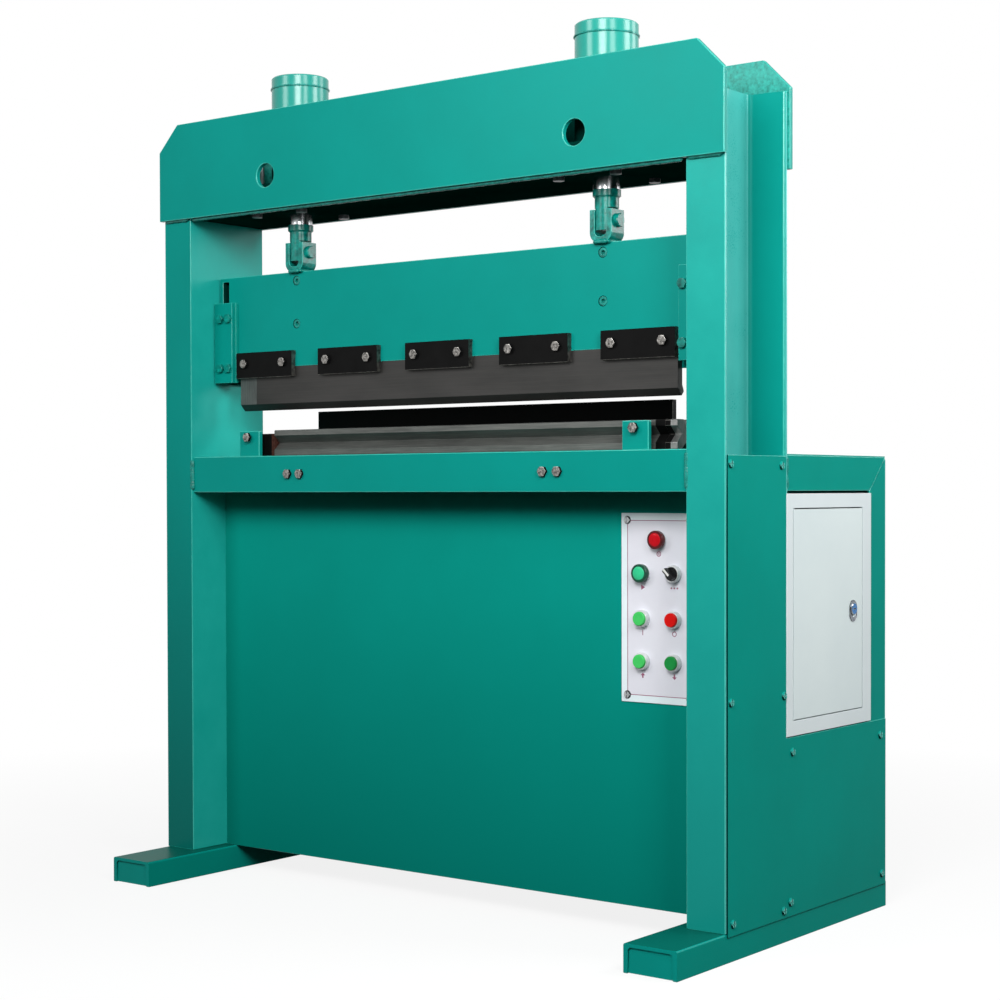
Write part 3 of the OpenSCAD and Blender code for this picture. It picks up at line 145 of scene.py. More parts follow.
@dataclass(frozen=True)
class Finish:
    """What all finishes share: two tones that drift into each other, sheen that varies, and a fine relief.

    Attributes:
        name: Material name.
        tone: Main colour.
        drift: Second colour, for slow changes over the surface.
        drift_mm: Size of those changes.
        grain_mm: Spacing of the fine relief.
        grain_up_mm: Height of the fine relief.
        rough: Lowest and highest roughness.
        metallic: 1 for bare metal and 0 for coatings and plastics.
        specular: Specular level of the shader.
        stretch: Scale of the relief along X, Y and Z, to draw it out into streaks.
        detail: Octaves of the fine relief.
        edge: Finish of its rounded corners, where it differs.
        low: Colour at the floor, a painted shade that darkens the finish towards the bottom; empty for none.
        low_mm: Height at which that colour has gone.
    """

    name: str
    tone: str
    drift: str
    drift_mm: float = 160.0
    grain_mm: float = 3.0
    grain_up_mm: float = 0.05
    rough: tuple[float, float] = (0.35, 0.45)
    metallic: float = 0.0
    specular: float = 0.5
    stretch: tuple[float, float, float] = (1.0, 1.0, 1.0)
    detail: float = 2.0
    edge: "Finish | None" = None
    low: str = ""
    low_mm: float = 900.0

    def again(self, name: str, tone: str, drift: str, **changes: Any) -> "Finish":
        """The same finish with another name, other colours and what else differs."""
        return replace(self, name=name, tone=tone, drift=drift, **changes)

    def material(self) -> bpy.types.Material:
        """Builds the material, if it wasn't built before.

        Returns:
            The material.
        """
        made = bpy.data.materials.get(self.name)
        if made:
            return made
        made = bpy.data.materials.new(self.name)
        tree = cleared(made)
        where = add_node(tree, "ShaderNodeTexCoord").outputs["Object"]
        drawn = add_node(tree, "ShaderNodeMapping", {"Vector": where, "Scale": self.stretch}).outputs[0]
        cloud = add_node(
            tree,
            "ShaderNodeTexNoise",
            {"Vector": drawn, "Scale": per_metre(self.drift_mm), "Detail": 4.0, "Roughness": 0.6},
        ).outputs["Fac"]
        share = add_node(
            tree, "ShaderNodeMapRange", {"Value": cloud, "From Min": CLOUD_LOW, "From Max": CLOUD_HIGH}
        ).outputs[0]
        colour = add_node(
            tree, "ShaderNodeMix", {0: share, 6: linear(self.tone), 7: linear(self.drift)}, data_type="RGBA"
        ).outputs[2]
        # painted shade: the colour darkens towards the floor, up to low_mm
        if self.low:
            height = add_node(tree, "ShaderNodeSeparateXYZ", {"Vector": where}).outputs["Z"]
            up = add_node(tree, "ShaderNodeMapRange", {"Value": height, "From Max": self.low_mm * MM})
            mixed = {0: up.outputs[0], 6: linear(self.low), 7: colour}
            colour = add_node(tree, "ShaderNodeMix", mixed, data_type="RGBA").outputs[2]
        relief = add_node(
            tree,
            "ShaderNodeTexNoise",
            {"Vector": drawn, "Scale": per_metre(self.grain_mm), "Detail": self.detail, "Roughness": 0.55},
        ).outputs["Fac"]
        both = add_node(tree, "ShaderNodeMath", {0: cloud, 1: relief}, operation="ADD").outputs[0]
        spread = {"From Min": 2 * CLOUD_LOW, "From Max": 2 * CLOUD_HIGH}
        spread |= {"To Min": self.rough[0], "To Max": self.rough[1]}
        sheen = add_node(tree, "ShaderNodeMapRange", {"Value": both} | spread).outputs[0]
        bump = add_node(tree, "ShaderNodeBump", {"Height": relief, "Distance": self.grain_up_mm * MM})
        shader = add_node(
            tree,
            "ShaderNodeBsdfPrincipled",
            {
                "Base Color": self.tint(tree, where, colour),
                "Roughness": sheen,
                "Normal": bump.outputs[0],
                "Metallic": self.metallic,
                "Specular IOR Level": self.specular,
            },
        )
        add_node(tree, "ShaderNodeOutputMaterial", {"Surface": shader.outputs[0]})
        return made

    def tint(self, tree: bpy.types.NodeTree, where: Socket, colour: Socket) -> Socket:
        """Last change to the colour; the plain finish leaves it."""
        return colour


@dataclass(frozen=True)
class StreakedFinish(Finish):
    """A finish with tool marks: thin streaks that also change the colour.

    Attributes:
        streak: Colour of the streaks.
        streak_mm: Spacing of the streaks across their length.
        streak_share: Most of that colour that shows.
        streak_from: Noise at which a streak begins and at which it is full.
        draw: Scale along X, Y and Z; a small number draws the streaks out along that axis.
    """

    streak: str = "#808080"
    streak_mm: float = 2.0
    streak_share: float = 0.5
    streak_from: tuple[float, float] = (0.42, 0.75)
    draw: tuple[float, float, float] = (0.02, 1.0, 1.0)

    def tint(self, tree: bpy.types.NodeTree, where: Socket, colour: Socket) -> Socket:
        """Lays the streaks over the colour.

        Args:
            tree: Node tree of the material.
            where: Coordinates in metres.
            colour: The colour so far.

        Returns:
            The colour with its streaks.
        """
        drawn = add_node(tree, "ShaderNodeMapping", {"Vector": where, "Scale": self.draw}).outputs[0]
        marks = add_node(
            tree,
            "ShaderNodeTexNoise",
            {"Vector": drawn, "Scale": per_metre(self.streak_mm), "Detail": 3.0, "Roughness": 0.7},
        ).outputs["Fac"]
        begin, full = self.streak_from
        share = add_node(
            tree,
            "ShaderNodeMapRange",
            {"Value": marks, "From Min": begin, "From Max": full, "To Max": self.streak_share},
        ).outputs[0]
        mixed = {0: share, 6: colour, 7: linear(self.streak)}
        return add_node(tree, "ShaderNodeMix", mixed, data_type="RGBA").outputs[2]


# The enamel on rounded corners: glossier, with a lighter green that is a painted highlight, so plates show a
# bright line.
ENAMEL_EDGE_HIGHLIGHT = Finish(
    "green_enamel_painted_edge_highlight", "#1fa596", "#35b5a7", 30, 2.4, 0.02, (0.18, 0.28), specular=0.45
)
# Solvent enamel, sprayed on cut plate: a semi-gloss skin with faint orange peel. The peel's 3 mm waves
# soften reflections, and slow drifts in film thickness shade the green.
ENAMEL = Finish(
    "green_enamel_sprayed", "#05887e", "#068f85", 260, 3.0, 0.012, (0.30, 0.38), specular=0.06,
    edge=ENAMEL_EDGE_HIGHLIGHT,
)
# The enamel on thin sheet, where it dried flat: almost no mirror, so the green stays deep at a slant.
ENAMEL_ON_SHEET = ENAMEL.again(
    "green_enamel_on_sheet", "#04877a", "#058e81", rough=(0.34, 0.42), specular=0.015
)
# The same on the front sheet, with painted shade: the green darkens towards the bottom.
ENAMEL_FRONT_PAINTED_SHADE = ENAMEL_ON_SHEET.again(
    "green_enamel_front_sheet_painted_shade", "#0a9486", "#0b9b8d", low="#037a6e", low_mm=840
)
# Enamel over rolled steel on the right column's front: mill scale under it gives a coarse pebbled skin that
# breaks up the light. Its paler green is a painted sheen, and its darker colour at the floor is painted
# shade.
ENAMEL_ROLLED_PAINTED_SHEEN = Finish(
    "green_enamel_rolled_steel_painted_sheen_and_shade", "#11948a", "#189c91", 90, 3.4, 0.09, (0.30, 0.42), specular=0.12,
    detail=3.0, low="#108b82",
)
# The sprayed enamel on the left column's front: smoother, with painted shade that darkens it towards the
# foot.
ENAMEL_FLANGE_PAINTED_SHADE = ENAMEL.again("green_enamel_flange_painted_shade", "#05887e", "#068f85", low="#03675f")
# Enamel on the left column's web, as pebbled as the rolled steel under it; its paler green is a painted
# sheen.
ENAMEL_WEB_PAINTED_SHEEN = ENAMEL_ROLLED_PAINTED_SHEEN.again(
    "green_enamel_web_painted_sheen", "#19a89d", "#22b0a5", specular=0.14, low=""
)
# Enamel sprayed thick and dry on the right column's outer web: orange peel that sparkles, with a pale, hazy
# green that is a painted sheen.
ENAMEL_PEELED_PAINTED_SHEEN = Finish(
    "green_enamel_orange_peel_painted_sheen", "#3ba8a1", "#48b2ab", 110, 2.8, 0.15, (0.24, 0.36), edge=ENAMEL_EDGE_HIGHLIGHT
)
# Enamel on the rear plate's ends, where the spray caught dust: a sandy skin, mottled pale and deep.
ENAMEL_SANDY = Finish(
    "green_enamel_over_grit", "#07796e", "#2fab9e", 6, 2.8, 0.16, (0.26, 0.38), specular=0.2,
    detail=3.0, edge=ENAMEL_EDGE_HIGHLIGHT,
)
# Enamel on turned and rounded pieces, where it flowed out to a full gloss: sharp upright highlights.
ENAMEL_GLOSS = Finish(
    "green_enamel_full_gloss", "#068f82", "#079688", 60, 3.6, 0.02, (0.18, 0.25), specular=0.44,
    edge=ENAMEL_EDGE_HIGHLIGHT,
)
# Enamel brushed on the small forgings: it ran, so deep and pale green lie side by side under a gloss.
ENAMEL_RUNS = Finish(
    "green_enamel_with_runs", "#044f48", "#0b9a8d", 13, 2.4, 0.03, (0.14, 0.24), specular=0.26,
    edge=ENAMEL_EDGE_HIGHLIGHT,
)
# Thin enamel that was brushed over weld beads: darker, glossy, with pinholes.
ENAMEL_ON_WELD = Finish(
    "green_enamel_on_weld", "#046a60", "#0a9084", 9, 1.6, 0.18, (0.18, 0.36), specular=0.30, detail=3.0
)
# Enamel with painted shade for places in deep shade: under the crown, in holes, slots and gaps, on flanks and
# on the tank; dull and nearly black.
ENAMEL_PAINTED_SHADE = Finish("green_enamel_painted_shade", "#02302a", "#033b34", 140, 3.0, 0.03, (0.55, 0.68), specular=0.0)
# Enamel on the tops of the feet with painted shade: flat and a shade deeper than the rest.
ENAMEL_FEET_PAINTED_SHADE = ENAMEL.again(
    "green_enamel_feet_painted_shade", "#04594f", "#066157", drift_mm=200, rough=(0.38, 0.46), specular=0.04
)
# Zinc plate on screws: a grey, faintly mottled metal with a soft shine.
ZINC = Finish("zinc_plated_steel", "#8f9395", "#b5b9ba", 6, 0.8, 0.02, (0.28, 0.42), metallic=1.0)
# Zinc plate with painted shade: dark, brownish grey, for bolts in the shadow of the bed and the shaded flanks
# of the panel's screws.
ZINC_PAINTED_SHADE = Finish("zinc_painted_shade", "#26292a", "#4a4e4f", 7, 0.9, 0.04, (0.34, 0.5), metallic=0.9)
# Turned and milled steel: bright metal with fine tool marks.
MACHINED = StreakedFinish(
    "machined_steel", "#8b8e90", "#a3a6a7", 40, 0.7, 0.01, (0.25, 0.38), metallic=1.0,
    streak="#c4c7c8", streak_mm=1.2, streak_share=0.5, draw=(1.0, 0.05, 1.0),
)
# Oiled bolts and socket screws: dark browned steel that still shows metal on its edges.
OILED_BOLT = Finish("oil_blackened_steel", "#101011", "#a9a6a1", 4.5, 1.1, 0.10, (0.14, 0.32), metallic=0.95)
# Flanks of the same heads, and of the lock's rose, with painted shade: nearly black, so each head has a dark
# outline.
FLANK_PAINTED_SHADE = Finish(
    "black_flank_painted_shade", "#0d0d0e", "#1c1c1d", 5, 1.1, 0.05, (0.4, 0.55), metallic=0.4, specular=0.2
)
# Hardened tool steel, surface ground along its length: dark grey metal whose grinding lines barely show.
GROUND_TOOL = StreakedFinish(
    "ground_tool_steel", "#2e2e2d", "#3a3938", 90, 1.0, 0.01, (0.32, 0.46), metallic=0.6, specular=0.3,
    streak="#55534f", streak_mm=1.6, streak_share=0.16, draw=(0.012, 1.0, 1.0), stretch=(0.4, 1.0, 1.0),
)
# The punch's handled end: the same ground steel, paler and smeared with a trace of green paint.
RUBBED_TOOL = StreakedFinish(
    "handled_tool_steel", "#3f4443", "#565c5a", 24, 1.0, 0.01, (0.30, 0.42), metallic=0.5, specular=0.3,
    streak="#777c78", streak_mm=3.0, streak_share=0.3, draw=(1.0, 1.0, 0.05), stretch=(1.0, 1.0, 0.4),
)
# The die in use: oily grey steel, lighter where sheet has rubbed it, with thin lines and stray specks.
WORN_DIE = StreakedFinish(
    "worn_die_steel", "#454745", "#5c5f5c", 45, 0.9, 0.03, (0.30, 0.48), metallic=0.55, specular=0.3,
    streak="#8d8d88", streak_mm=1.1, streak_share=0.34, draw=(0.02, 1.0, 1.0), stretch=(0.3, 1.0, 1.0),
)
# Corners of blackened steel, where handling has rubbed the oxide through to warm grey metal; the lighter grey
# also serves as a painted highlight along the edges.
RUBBED_EDGE_HIGHLIGHT = Finish("rubbed_steel_edge_and_highlight", "#2d2c2a", "#77756f", 6, 1.2, 0.05, (0.24, 0.38), metallic=0.8)
# Sawn ends of the clamps: the oxide is thin there, so grey metal shows in blotches.
RUBBED_END = Finish("rubbed_sawn_end", "#1c1c1c", "#7d7b76", 9, 1.0, 0.05, (0.26, 0.42), metallic=0.8)
# Black oxide on the clamps and the gauge bar: nearly black, dull, with a faint grey bloom.
BLACK_OXIDE = Finish(
    "black_oxide_steel", "#0a0a0a", "#101010", 45, 1.4, 0.015, (0.36, 0.5), specular=0.04, edge=RUBBED_EDGE_HIGHLIGHT
)
# Rust where the die's end was cut and never oiled: matt red-brown, blotchy, with a gritty skin.
RUST = Finish("rusted_cut_steel", "#24110d", "#4c2c24", 4, 0.9, 0.12, (0.6, 0.8), specular=0.1, detail=3.0)
# Bright milled steel at the open end of the die: lighter than the rest, with short tool marks.
MILLED_END = StreakedFinish(
    "milled_die_end", "#6f716f", "#8e908e", 20, 0.8, 0.03, (0.26, 0.4), metallic=0.8,
    streak="#b4b6b4", streak_mm=1.0, streak_share=0.4, draw=(1.0, 1.0, 0.05),
)
# Hard chrome, ground and polished: a mirror with barely any texture.
CHROME = Finish("hard_chrome_polished", "#b7babd", "#c6c9cb", 30, 1.2, 0.0006, (0.14, 0.2), metallic=1.0)
# Nickel-plated rose of the lock: darker than chrome, with light and dark patches in its colour that are a
# painted reflection.
NICKEL_PAINTED_REFLECTION = Finish("nickel_plate_painted_reflection", "#5d636a", "#9aa0a6", 7, 1.6, 0.02, (0.10, 0.2), metallic=1.0)
# Face of the lock barrel: a deep blue that is a painted reflection, on metal with a soft shine.
BLUE_PAINTED_REFLECTION = Finish("barrel_blue_painted_reflection", "#1f5a92", "#3b7ebb", 6, 0.9, 0.01, (0.2, 0.32), metallic=0.7)
# White powder coat on the electric box: a fine, even orange peel and a satin sheen.
POWDER_COAT = Finish("white_powder_coat", "#cdd8da", "#d3dddf", 150, 1.6, 0.02, (0.32, 0.4), specular=0.45)
# The door's own coat, from another batch: a shade cooler and darker than its frame.
DOOR_COAT = POWDER_COAT.again("white_powder_coat_cool", "#cddadb", "#d4e0e0", drift_mm=170, specular=0.4)
# Satin white stove enamel on the panel plate: smooth, with the coolest white of the machine.
PANEL_WHITE = Finish("white_panel_enamel", "#dddde6", "#e4e4ec", 90, 2.0, 0.004, (0.35, 0.42), specular=0.4)
# Strip outside the printed border: the first coat, whiter and glossier, because the second stops short of it.
PANEL_RIM = PANEL_WHITE.again("bright_panel_rim", "#e0eef2", "#e8f5f8", rough=(0.25, 0.32), specular=0.5)
# Screen-printed ink on the panel: flat dusty purple with slightly uneven cover.
PANEL_INK = Finish("dusty_purple_screen_ink", "#8e4a66", "#9a5a74", 4, 0.8, 0.004, (0.5, 0.6), specular=0.3)
# Silvery plastic bezels, moulded and satin: pale grey with a soft rim light.
BEZEL = Finish("satin_grey_bezel", "#c9cccd", "#d6d8d9", 12, 0.9, 0.006, (0.25, 0.35), metallic=0.35)
# Moulded polycarbonate lenses and their rims: saturated, glossy, with a skin that is almost flat.
RED_LENS = Finish("red_polycarbonate_lens", "#b80012", "#cc0a1c", 9, 1.0, 0.01, (0.12, 0.2), specular=0.12)
GREEN_LENS = RED_LENS.again("green_polycarbonate_lens", "#33c98f", "#2ab981", specular=0.2)
RED_RIM = RED_LENS.again("dark_red_lens_rim", "#4a060c", "#5c0a11", rough=(0.2, 0.3), specular=0.25)
GREEN_RIM = RED_RIM.again("dark_green_lens_rim", "#063c2c", "#0a4a36")
# Moulded caps: bright even colours under a satin skin with a soft, broad shine.
GREEN_CAP = Finish("green_moulded_cap", "#3fc05c", "#48c865", 10, 0.8, 0.006, (0.28, 0.38), specular=0.15)
DARK_GREEN_CAP = GREEN_CAP.again("dark_green_moulded_cap", "#158a3c", "#1b9344")
RED_CAP = GREEN_CAP.again("red_moulded_cap", "#d80f0c", "#de1a16", specular=0.12)
# Moulded plastic of the selector: near black, with a faintly grained, half-dull skin.
BLACK_PLASTIC = Finish(
    "black_moulded_plastic", "#0c0c0e", "#131315", 14, 0.8, 0.008, (0.3, 0.42), specular=0.2
)
# White ink of the selector's stripe: matt, and a little yellow against the black.
WHITE_INK = Finish("white_pointer_ink", "#dcdcd8", "#e4e4e0", 3, 0.7, 0.003, (0.5, 0.6))
# Switchgear: thermoplastic cases on a zinc plate, spark-eroded and matt.
CASE_PLASTIC = Finish("grey_thermoplastic_cases", "#3b3d40", "#46494c", 20, 1.0, 0.02, (0.45, 0.58))
# Motor casting under grey enamel: sand-cast pebbling shows through the paint.
CAST_IRON = Finish(
    "painted_cast_iron", "#566263", "#647071", 35, 2.6, 0.14, (0.45, 0.6), specular=0.4, detail=3.0
)


# Mesh helpers


def stand(name: str, data: bpy.types.ID) -> bpy.types.Object:
    """Puts an object in the scene.

    Args:
        name: Its name.
        data: Mesh, light or camera that it holds.

    Returns:
        The object.
    """
    made = bpy.data.objects.new(name, data)
    bpy.context.scene.collection.objects.link(made)
    return made


def as_mesh(form: Form, name: str) -> bpy.types.Mesh:
    """Writes a bmesh to a new mesh.

    Args:
        form: The bmesh, which is freed.
        name: Name of the mesh.

    Returns:
        The mesh.
    """
    mesh = bpy.data.meshes.new(name)
    form.to_mesh(mesh)
    form.free()
    return mesh


def box_of(places: Sequence[Vector]) -> tuple[Vector, Vector]:
    """Lowest and highest corners of some points."""
    return Vector(map(min, zip(*places))), Vector(map(max, zip(*places)))


def middle_of(node: str) -> Vector:
    """Middle of a CAD node's box."""
    low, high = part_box(node)
    return (low + high) / 2


@contextmanager
def editing(mesh: bpy.types.Mesh) -> Iterator[Form]:
    """Lends a mesh as a bmesh, and writes it back afterwards.

    Args:
        mesh: The mesh.

    Yields:
        Its bmesh.
    """
    form = bmesh.new()
    form.from_mesh(mesh)
    yield form
    form.to_mesh(mesh)
    form.free()


def show(
    mesh: bpy.types.Mesh, name: str, finish: Finish, body: str = "frame", slot: str | None = None
) -> bpy.types.Object:
    """Puts a mesh in the scene as a piece that rides on a body.

    Args:
        mesh: The piece's mesh, in the frame's coordinates.
        name: Name of the piece.
        finish: Its finish.
        body: CAD body that it moves with.
        slot: Material slot that the record names for the piece; not used.

    Returns:
        The new object.
    """
    piece = stand(name, mesh)
    piece.data.materials.append(finish.material())
    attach(piece, body)
    log.info("%s: %d faces in %s", name, len(mesh.polygons), finish.name)
    return piece


def finish_mesh(form: Form, name: str, crease_deg: float = 35.0) -> bpy.types.Mesh:
    """Turns a bmesh into a mesh that is smooth except over its creases.

    Args:
        form: The bmesh, which is freed.
        name: Name of the mesh.
        crease_deg: Turn above which an edge stays sharp.

    Returns:
        The mesh.
    """
    bmesh.ops.recalc_face_normals(form, faces=form.faces)
    for face in form.faces:
        face.smooth = True
    for edge in form.edges:
        edge.smooth = edge.is_manifold and edge.calc_face_angle(0.0) < math.radians(crease_deg)
    return as_mesh(form, name)


def edges_with_room(
    form: Form, width: float, turn_deg: float = 30.0, room: float = 2.3
) -> list[bmesh.types.BMEdge]:
    """Finds the corners that a rounding of this width fits on.

    Args:
        form: The solid.
        width: Width of the rounding.
        turn_deg: Smallest turn that counts as a corner.
        room: Shortest neighbour that leaves room, against the width.

    Returns:
        Edges whose own length and neighbours leave room.
    """
    turn = math.radians(turn_deg)
    sharp = [e for e in form.edges if e.is_manifold and e.calc_face_angle(0.0) > turn]
    tight = {v for e in form.edges if e.calc_length() < room * width for v in e.verts}
    return [e for e in sharp if not tight.intersection(e.verts)]


def order_of(face: bmesh.types.BMFace) -> float:
    """Number that tells a face from its neighbours by its place alone."""
    return sum(c * share for c, share in zip(face.calc_center_bounds(), (1.0, math.e, math.pi)))


def rounded(node: str, width_mm: float, corner_slot: int = 0, flat_deg: float = 0.8) -> bpy.types.Mesh:
    """Copies a CAD node's mesh with its corners rounded, as grinding and paint leave them.

    Args:
        node: Name of the CAD node.
        width_mm: Width of the rounding.
        corner_slot: Material number of the rounded corners.
        flat_deg: Turn below which neighbouring faces become one.

    Returns:
        The new mesh.
    """
    form = bmesh.new()
    form.from_mesh(frame["nodes"][node].data)
    bmesh.ops.remove_doubles(form, verts=form.verts, dist=SAME_PLACE)
    flat = math.radians(flat_deg)
    bmesh.ops.dissolve_limit(form, angle_limit=flat, verts=form.verts, edges=form.edges)
    for face in form.faces:
        face.material_index = 0
    width = width_mm * MM
    bmesh.ops.bevel(
        form, geom=edges_with_room(form, width), offset=width, segments=3, profile=0.5, affect="EDGES",
        clamp_overlap=True, material=corner_slot,
    )
    bmesh.ops.dissolve_degenerate(form, dist=SAME_PLACE / 10, edges=form.edges)
    # the call before this one can leave the faces in another order each run
    form.faces.sort(key=order_of)
    low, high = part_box(node)
    for vert in form.verts:
        vert.co = Vector(min(max(c, a), b) for c, a, b in zip(vert.co, low, high))
    return finish_mesh(form, node + "_rounded")


def dress(node: str, finish: Finish, width_mm: float, body: str = "frame") -> bpy.types.Object:
    """Stands a rounded copy in a CAD node's place.

    Args:
        node: Name of the CAD node.
        finish: Its finish.
        width_mm: Width of the rounded corners.
        body: CAD body that it moves with.

    Returns:
        The piece.
    """
    mesh = rounded(node, width_mm, 1 if finish.edge else 0)
    piece = show(mesh, node + "_finished", finish, body, slot_of(node))
    # the edge finish on the rounded corners; for the enamels it is a painted highlight
    if finish.edge:
        piece.data.materials.append(finish.edge.material())
    even = piece.modifiers.new("even_shading", "WEIGHTED_NORMAL")
    even.keep_sharp = True
    even.weight = 60
    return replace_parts(piece, node)


def refinish(piece: bpy.types.Object, finish: Finish, chosen: Chosen) -> None:
    """Gives some faces of a piece another finish.

    Args:
        piece: The piece.
        finish: Their finish.
        chosen: Says of a face whether it is one of them.
    """
    piece.data.materials.append(finish.material())
    last = len(piece.data.materials) - 1
    for face in piece.data.polygons:
        if chosen(face):
            face.material_index = last


def swell(piece: bpy.types.Object, share: float, chosen: Chosen) -> None:
    """Enlarges some faces of a piece about their middle, across X, as thick plating and paint leave them.

    Args:
        piece: The piece.
        share: New size against the old one.
        chosen: Says of a face whether it is one of them.
    """
    verts = {i for face in piece.data.polygons if chosen(face) for i in face.vertices}
    places = [piece.data.vertices[i].co for i in verts]
    low, high = box_of(places)
    middle = (low + high) / 2
    for place in places:
        place.yz = middle.yz + (place.yz - middle.yz) * share


def inside(face: Face, low: Vector, high: Vector) -> bool:
    """Whether a face's middle lies between two corners, seen from the front."""
    return low.x < face.center.x < high.x and low.z < face.center.z < high.z


def dark_flanks(bolts: bpy.types.Object) -> None:
    """Paints shade on the flanks of bolt heads, so that each head has a dark outline."""
    refinish(bolts, FLANK_PAINTED_SHADE, lambda face: abs(face.normal.y) < FLANK)


class Axis(Enum):
    """Axes that pieces are cut across."""

    X = (1.0, 0.0, 0.0)
    Z = (0.0, 0.0, 1.0)


def cut_across(piece: bpy.types.Object, axis: Axis, *places: float) -> None:
    """Cuts a piece's faces, so that each side of a cut can have its own finish.

    Args:
        piece: The piece.
        axis: Axis that the cuts stand across.
        places: Where on the axis they are.
    """
    normal = Vector(axis.value)
    for place in places:
        with editing(piece.data) as form:
            whole = form.verts[:] + form.edges[:] + form.faces[:]
            cut = {"plane_co": normal * place, "plane_no": normal}
            bmesh.ops.bisect_plane(form, geom=whole, dist=SAME_PLACE / 10, **cut)


def islands(form: Form) -> Iterator[set[bmesh.types.BMVert]]:
    """Finds the separate solids in a bmesh.

    Args:
        form: The bmesh.

    Yields:
        Points of one solid after another.
    """
    left = set(form.verts)
    while left:
        island, reached = set(), {left.pop()}
        while reached:
            island |= reached
            reached = {link.other_vert(vert) for vert in reached for link in vert.link_edges} & left
            left -= reached
        yield island


def widen_islands(piece: bpy.types.Object, share: float) -> None:
    """Widens each screw of a piece across its own axis, and leaves its length.

    Args:
        piece: Piece whose separate islands are screws, each along X or Y.
        share: New width against the old one.
    """
    with editing(piece.data) as form:
        for island in islands(form):
            low, high = box_of([vert.co for vert in island])
            middle, size = (low + high) / 2, high - low
            growth = Vector((1.0, share, share) if size.x <= size.y else (share, 1.0, share))
            for vert in island:
                vert.co = middle + (vert.co - middle) * growth


def paint(node: str, finish: Finish) -> None:
    """Gives a CAD node, as it is, a finish.

    Args:
        node: Name of the CAD node.
        finish: Its finish.
    """
    slots = frame["nodes"][node].data.materials
    for i in range(len(slots)):
        slots[i] = finish.material()
    if not slots:
        slots.append(finish.material())
    log.info("%s: kept in %s", node, finish.name)


def slot_of(node: str) -> str:
    """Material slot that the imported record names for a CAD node."""
    return next(p["material_slot"] for p in frame["record"]["subparts"] if p["node"] == node)


def along_x(y: float, z: float, left: float, right: float) -> Path:
    """Centre line of a bead that runs to the right."""
    return [Vector((x, y, z)) for x in (left, right)]


def upright(x: float, y: float, low: float, high: float) -> Path:
    """Centre line of a bead that runs up."""
    return [Vector((x, y, z)) for z in (low, high)]


def ring_path(centre: Vector, radius: float, steps: int = 72) -> Path:
    """Points round a level circle, the first one repeated at the end."""
    turns = (2 * math.pi * k / steps for k in range(steps + 1))
    return [centre + Vector((radius * math.cos(t), radius * math.sin(t), 0)) for t in turns]


def resampled(path: Path, step: float) -> Path:
    """Evenly spaced points along a polyline.

    Args:
        path: Corners of the line.
        step: Distance between points.

    Returns:
        The points, both ends included.
    """
    points: Path = []
    for a, b in zip(path, path[1:]):
        count = max(1, round((b - a).length / step))
        points += [a.lerp(b, i / count) for i in range(count)]
    return points + [path[-1].copy()]


def skin(form: Form, rings: Sequence[Sequence[bmesh.types.BMVert]]) -> None:
    """Joins rings of points with faces.

    Args:
        form: Mesh that gets the faces.
        rings: The rings, each joined to the next; a ring of one point is a pole.
    """
    count = max(map(len, rings))
    for a, b in zip(rings, rings[1:]):
        for k in range(count):
            n = k + 1
            corners = (a[k % len(a)], a[n % len(a)], b[n % len(b)], b[k % len(b)])
            form.faces.new(list(dict.fromkeys(corners)))


def weld_bead(
    name: str, paths: Iterable[Path], size_mm: float, seed: int, body: str = "frame", sides: int = 10
) -> bpy.types.Object:
    """Lays hand-made weld beads in the corners between plates.

    Args:
        name: Name of the piece.
        paths: Centre lines of the beads.
        size_mm: Half the width of a bead.
        seed: Number that makes these beads differ from others.
        body: CAD body that it moves with.
        sides: Sides of a bead.

    Returns:
        The piece.
    """
    # distance between rings, length of a ripple, and length over which the hand drifts, in millimetres
    step, ripple_mm, drift_mm = 1.8, 4.6, 16.0
    # rings that an end tapers over, and how far along that taper its tip begins
    taper_rings, tip = 2.5, 0.6
    # height of the ripple, drift of the width and drift sideways, against the bead
    ripple_share, width_share, side_share = 0.10, 0.28, 0.12
    form = bmesh.new()
    for row, path in enumerate(paths):
        points = resampled(path, step * MM)
        last = len(points) - 1
        rings = []
        for i, point in enumerate(points):
            ahead = (points[min(i + 1, last)] - points[max(i - 1, 0)]).normalized()
            side = ahead.orthogonal().normalized()
            up = ahead.cross(side)
            drift = noise(Vector((i * step / drift_mm, seed, row)))
            ripple = ripple_share * math.sin(i * step * 2 * math.pi / ripple_mm + 2 * drift)
            taper = min(1.0, (min(i, last - i) + tip) / taper_rings)
            radius = size_mm * MM * taper * (1 + width_share * drift + ripple)
            centre = point + side * (side_share * drift * size_mm * MM)
            turns = (2 * math.pi * k / sides for k in range(sides))
            ring = [centre + (side * math.cos(t) + up * math.sin(t)) * radius for t in turns]
            rings.append([form.verts.new(place) for place in ring])
        skin(form, rings)
        form.faces.new(rings[0])
        form.faces.new(rings[-1])
    return show(finish_mesh(form, name, crease_deg=80), name, ENAMEL_ON_WELD, body, "machine_paint")


def turned(name: str, profile: Sequence[Point2], centre: Vector, steps: int = 64) -> bpy.types.Mesh:
    """Turns a profile about an axis that runs along Y.

    Args:
        name: Name of the mesh.
        profile: Radius and distance in front of the centre, in millimetres, from the front pole to the back.
        centre: Point on the axis.
        steps: Steps round the axis.

    Returns:
        The mesh.
    """
    form = bmesh.new()
    rings = []
    for radius, out in profile:
        turns = (2 * math.pi * k / steps for k in range(steps if radius else 1))
        places = [Vector((radius * math.cos(t), -out, radius * math.sin(t))) * MM for t in turns]
        rings.append([form.verts.new(centre + place) for place in places])
    skin(form, rings)
    return finish_mesh(form, name)


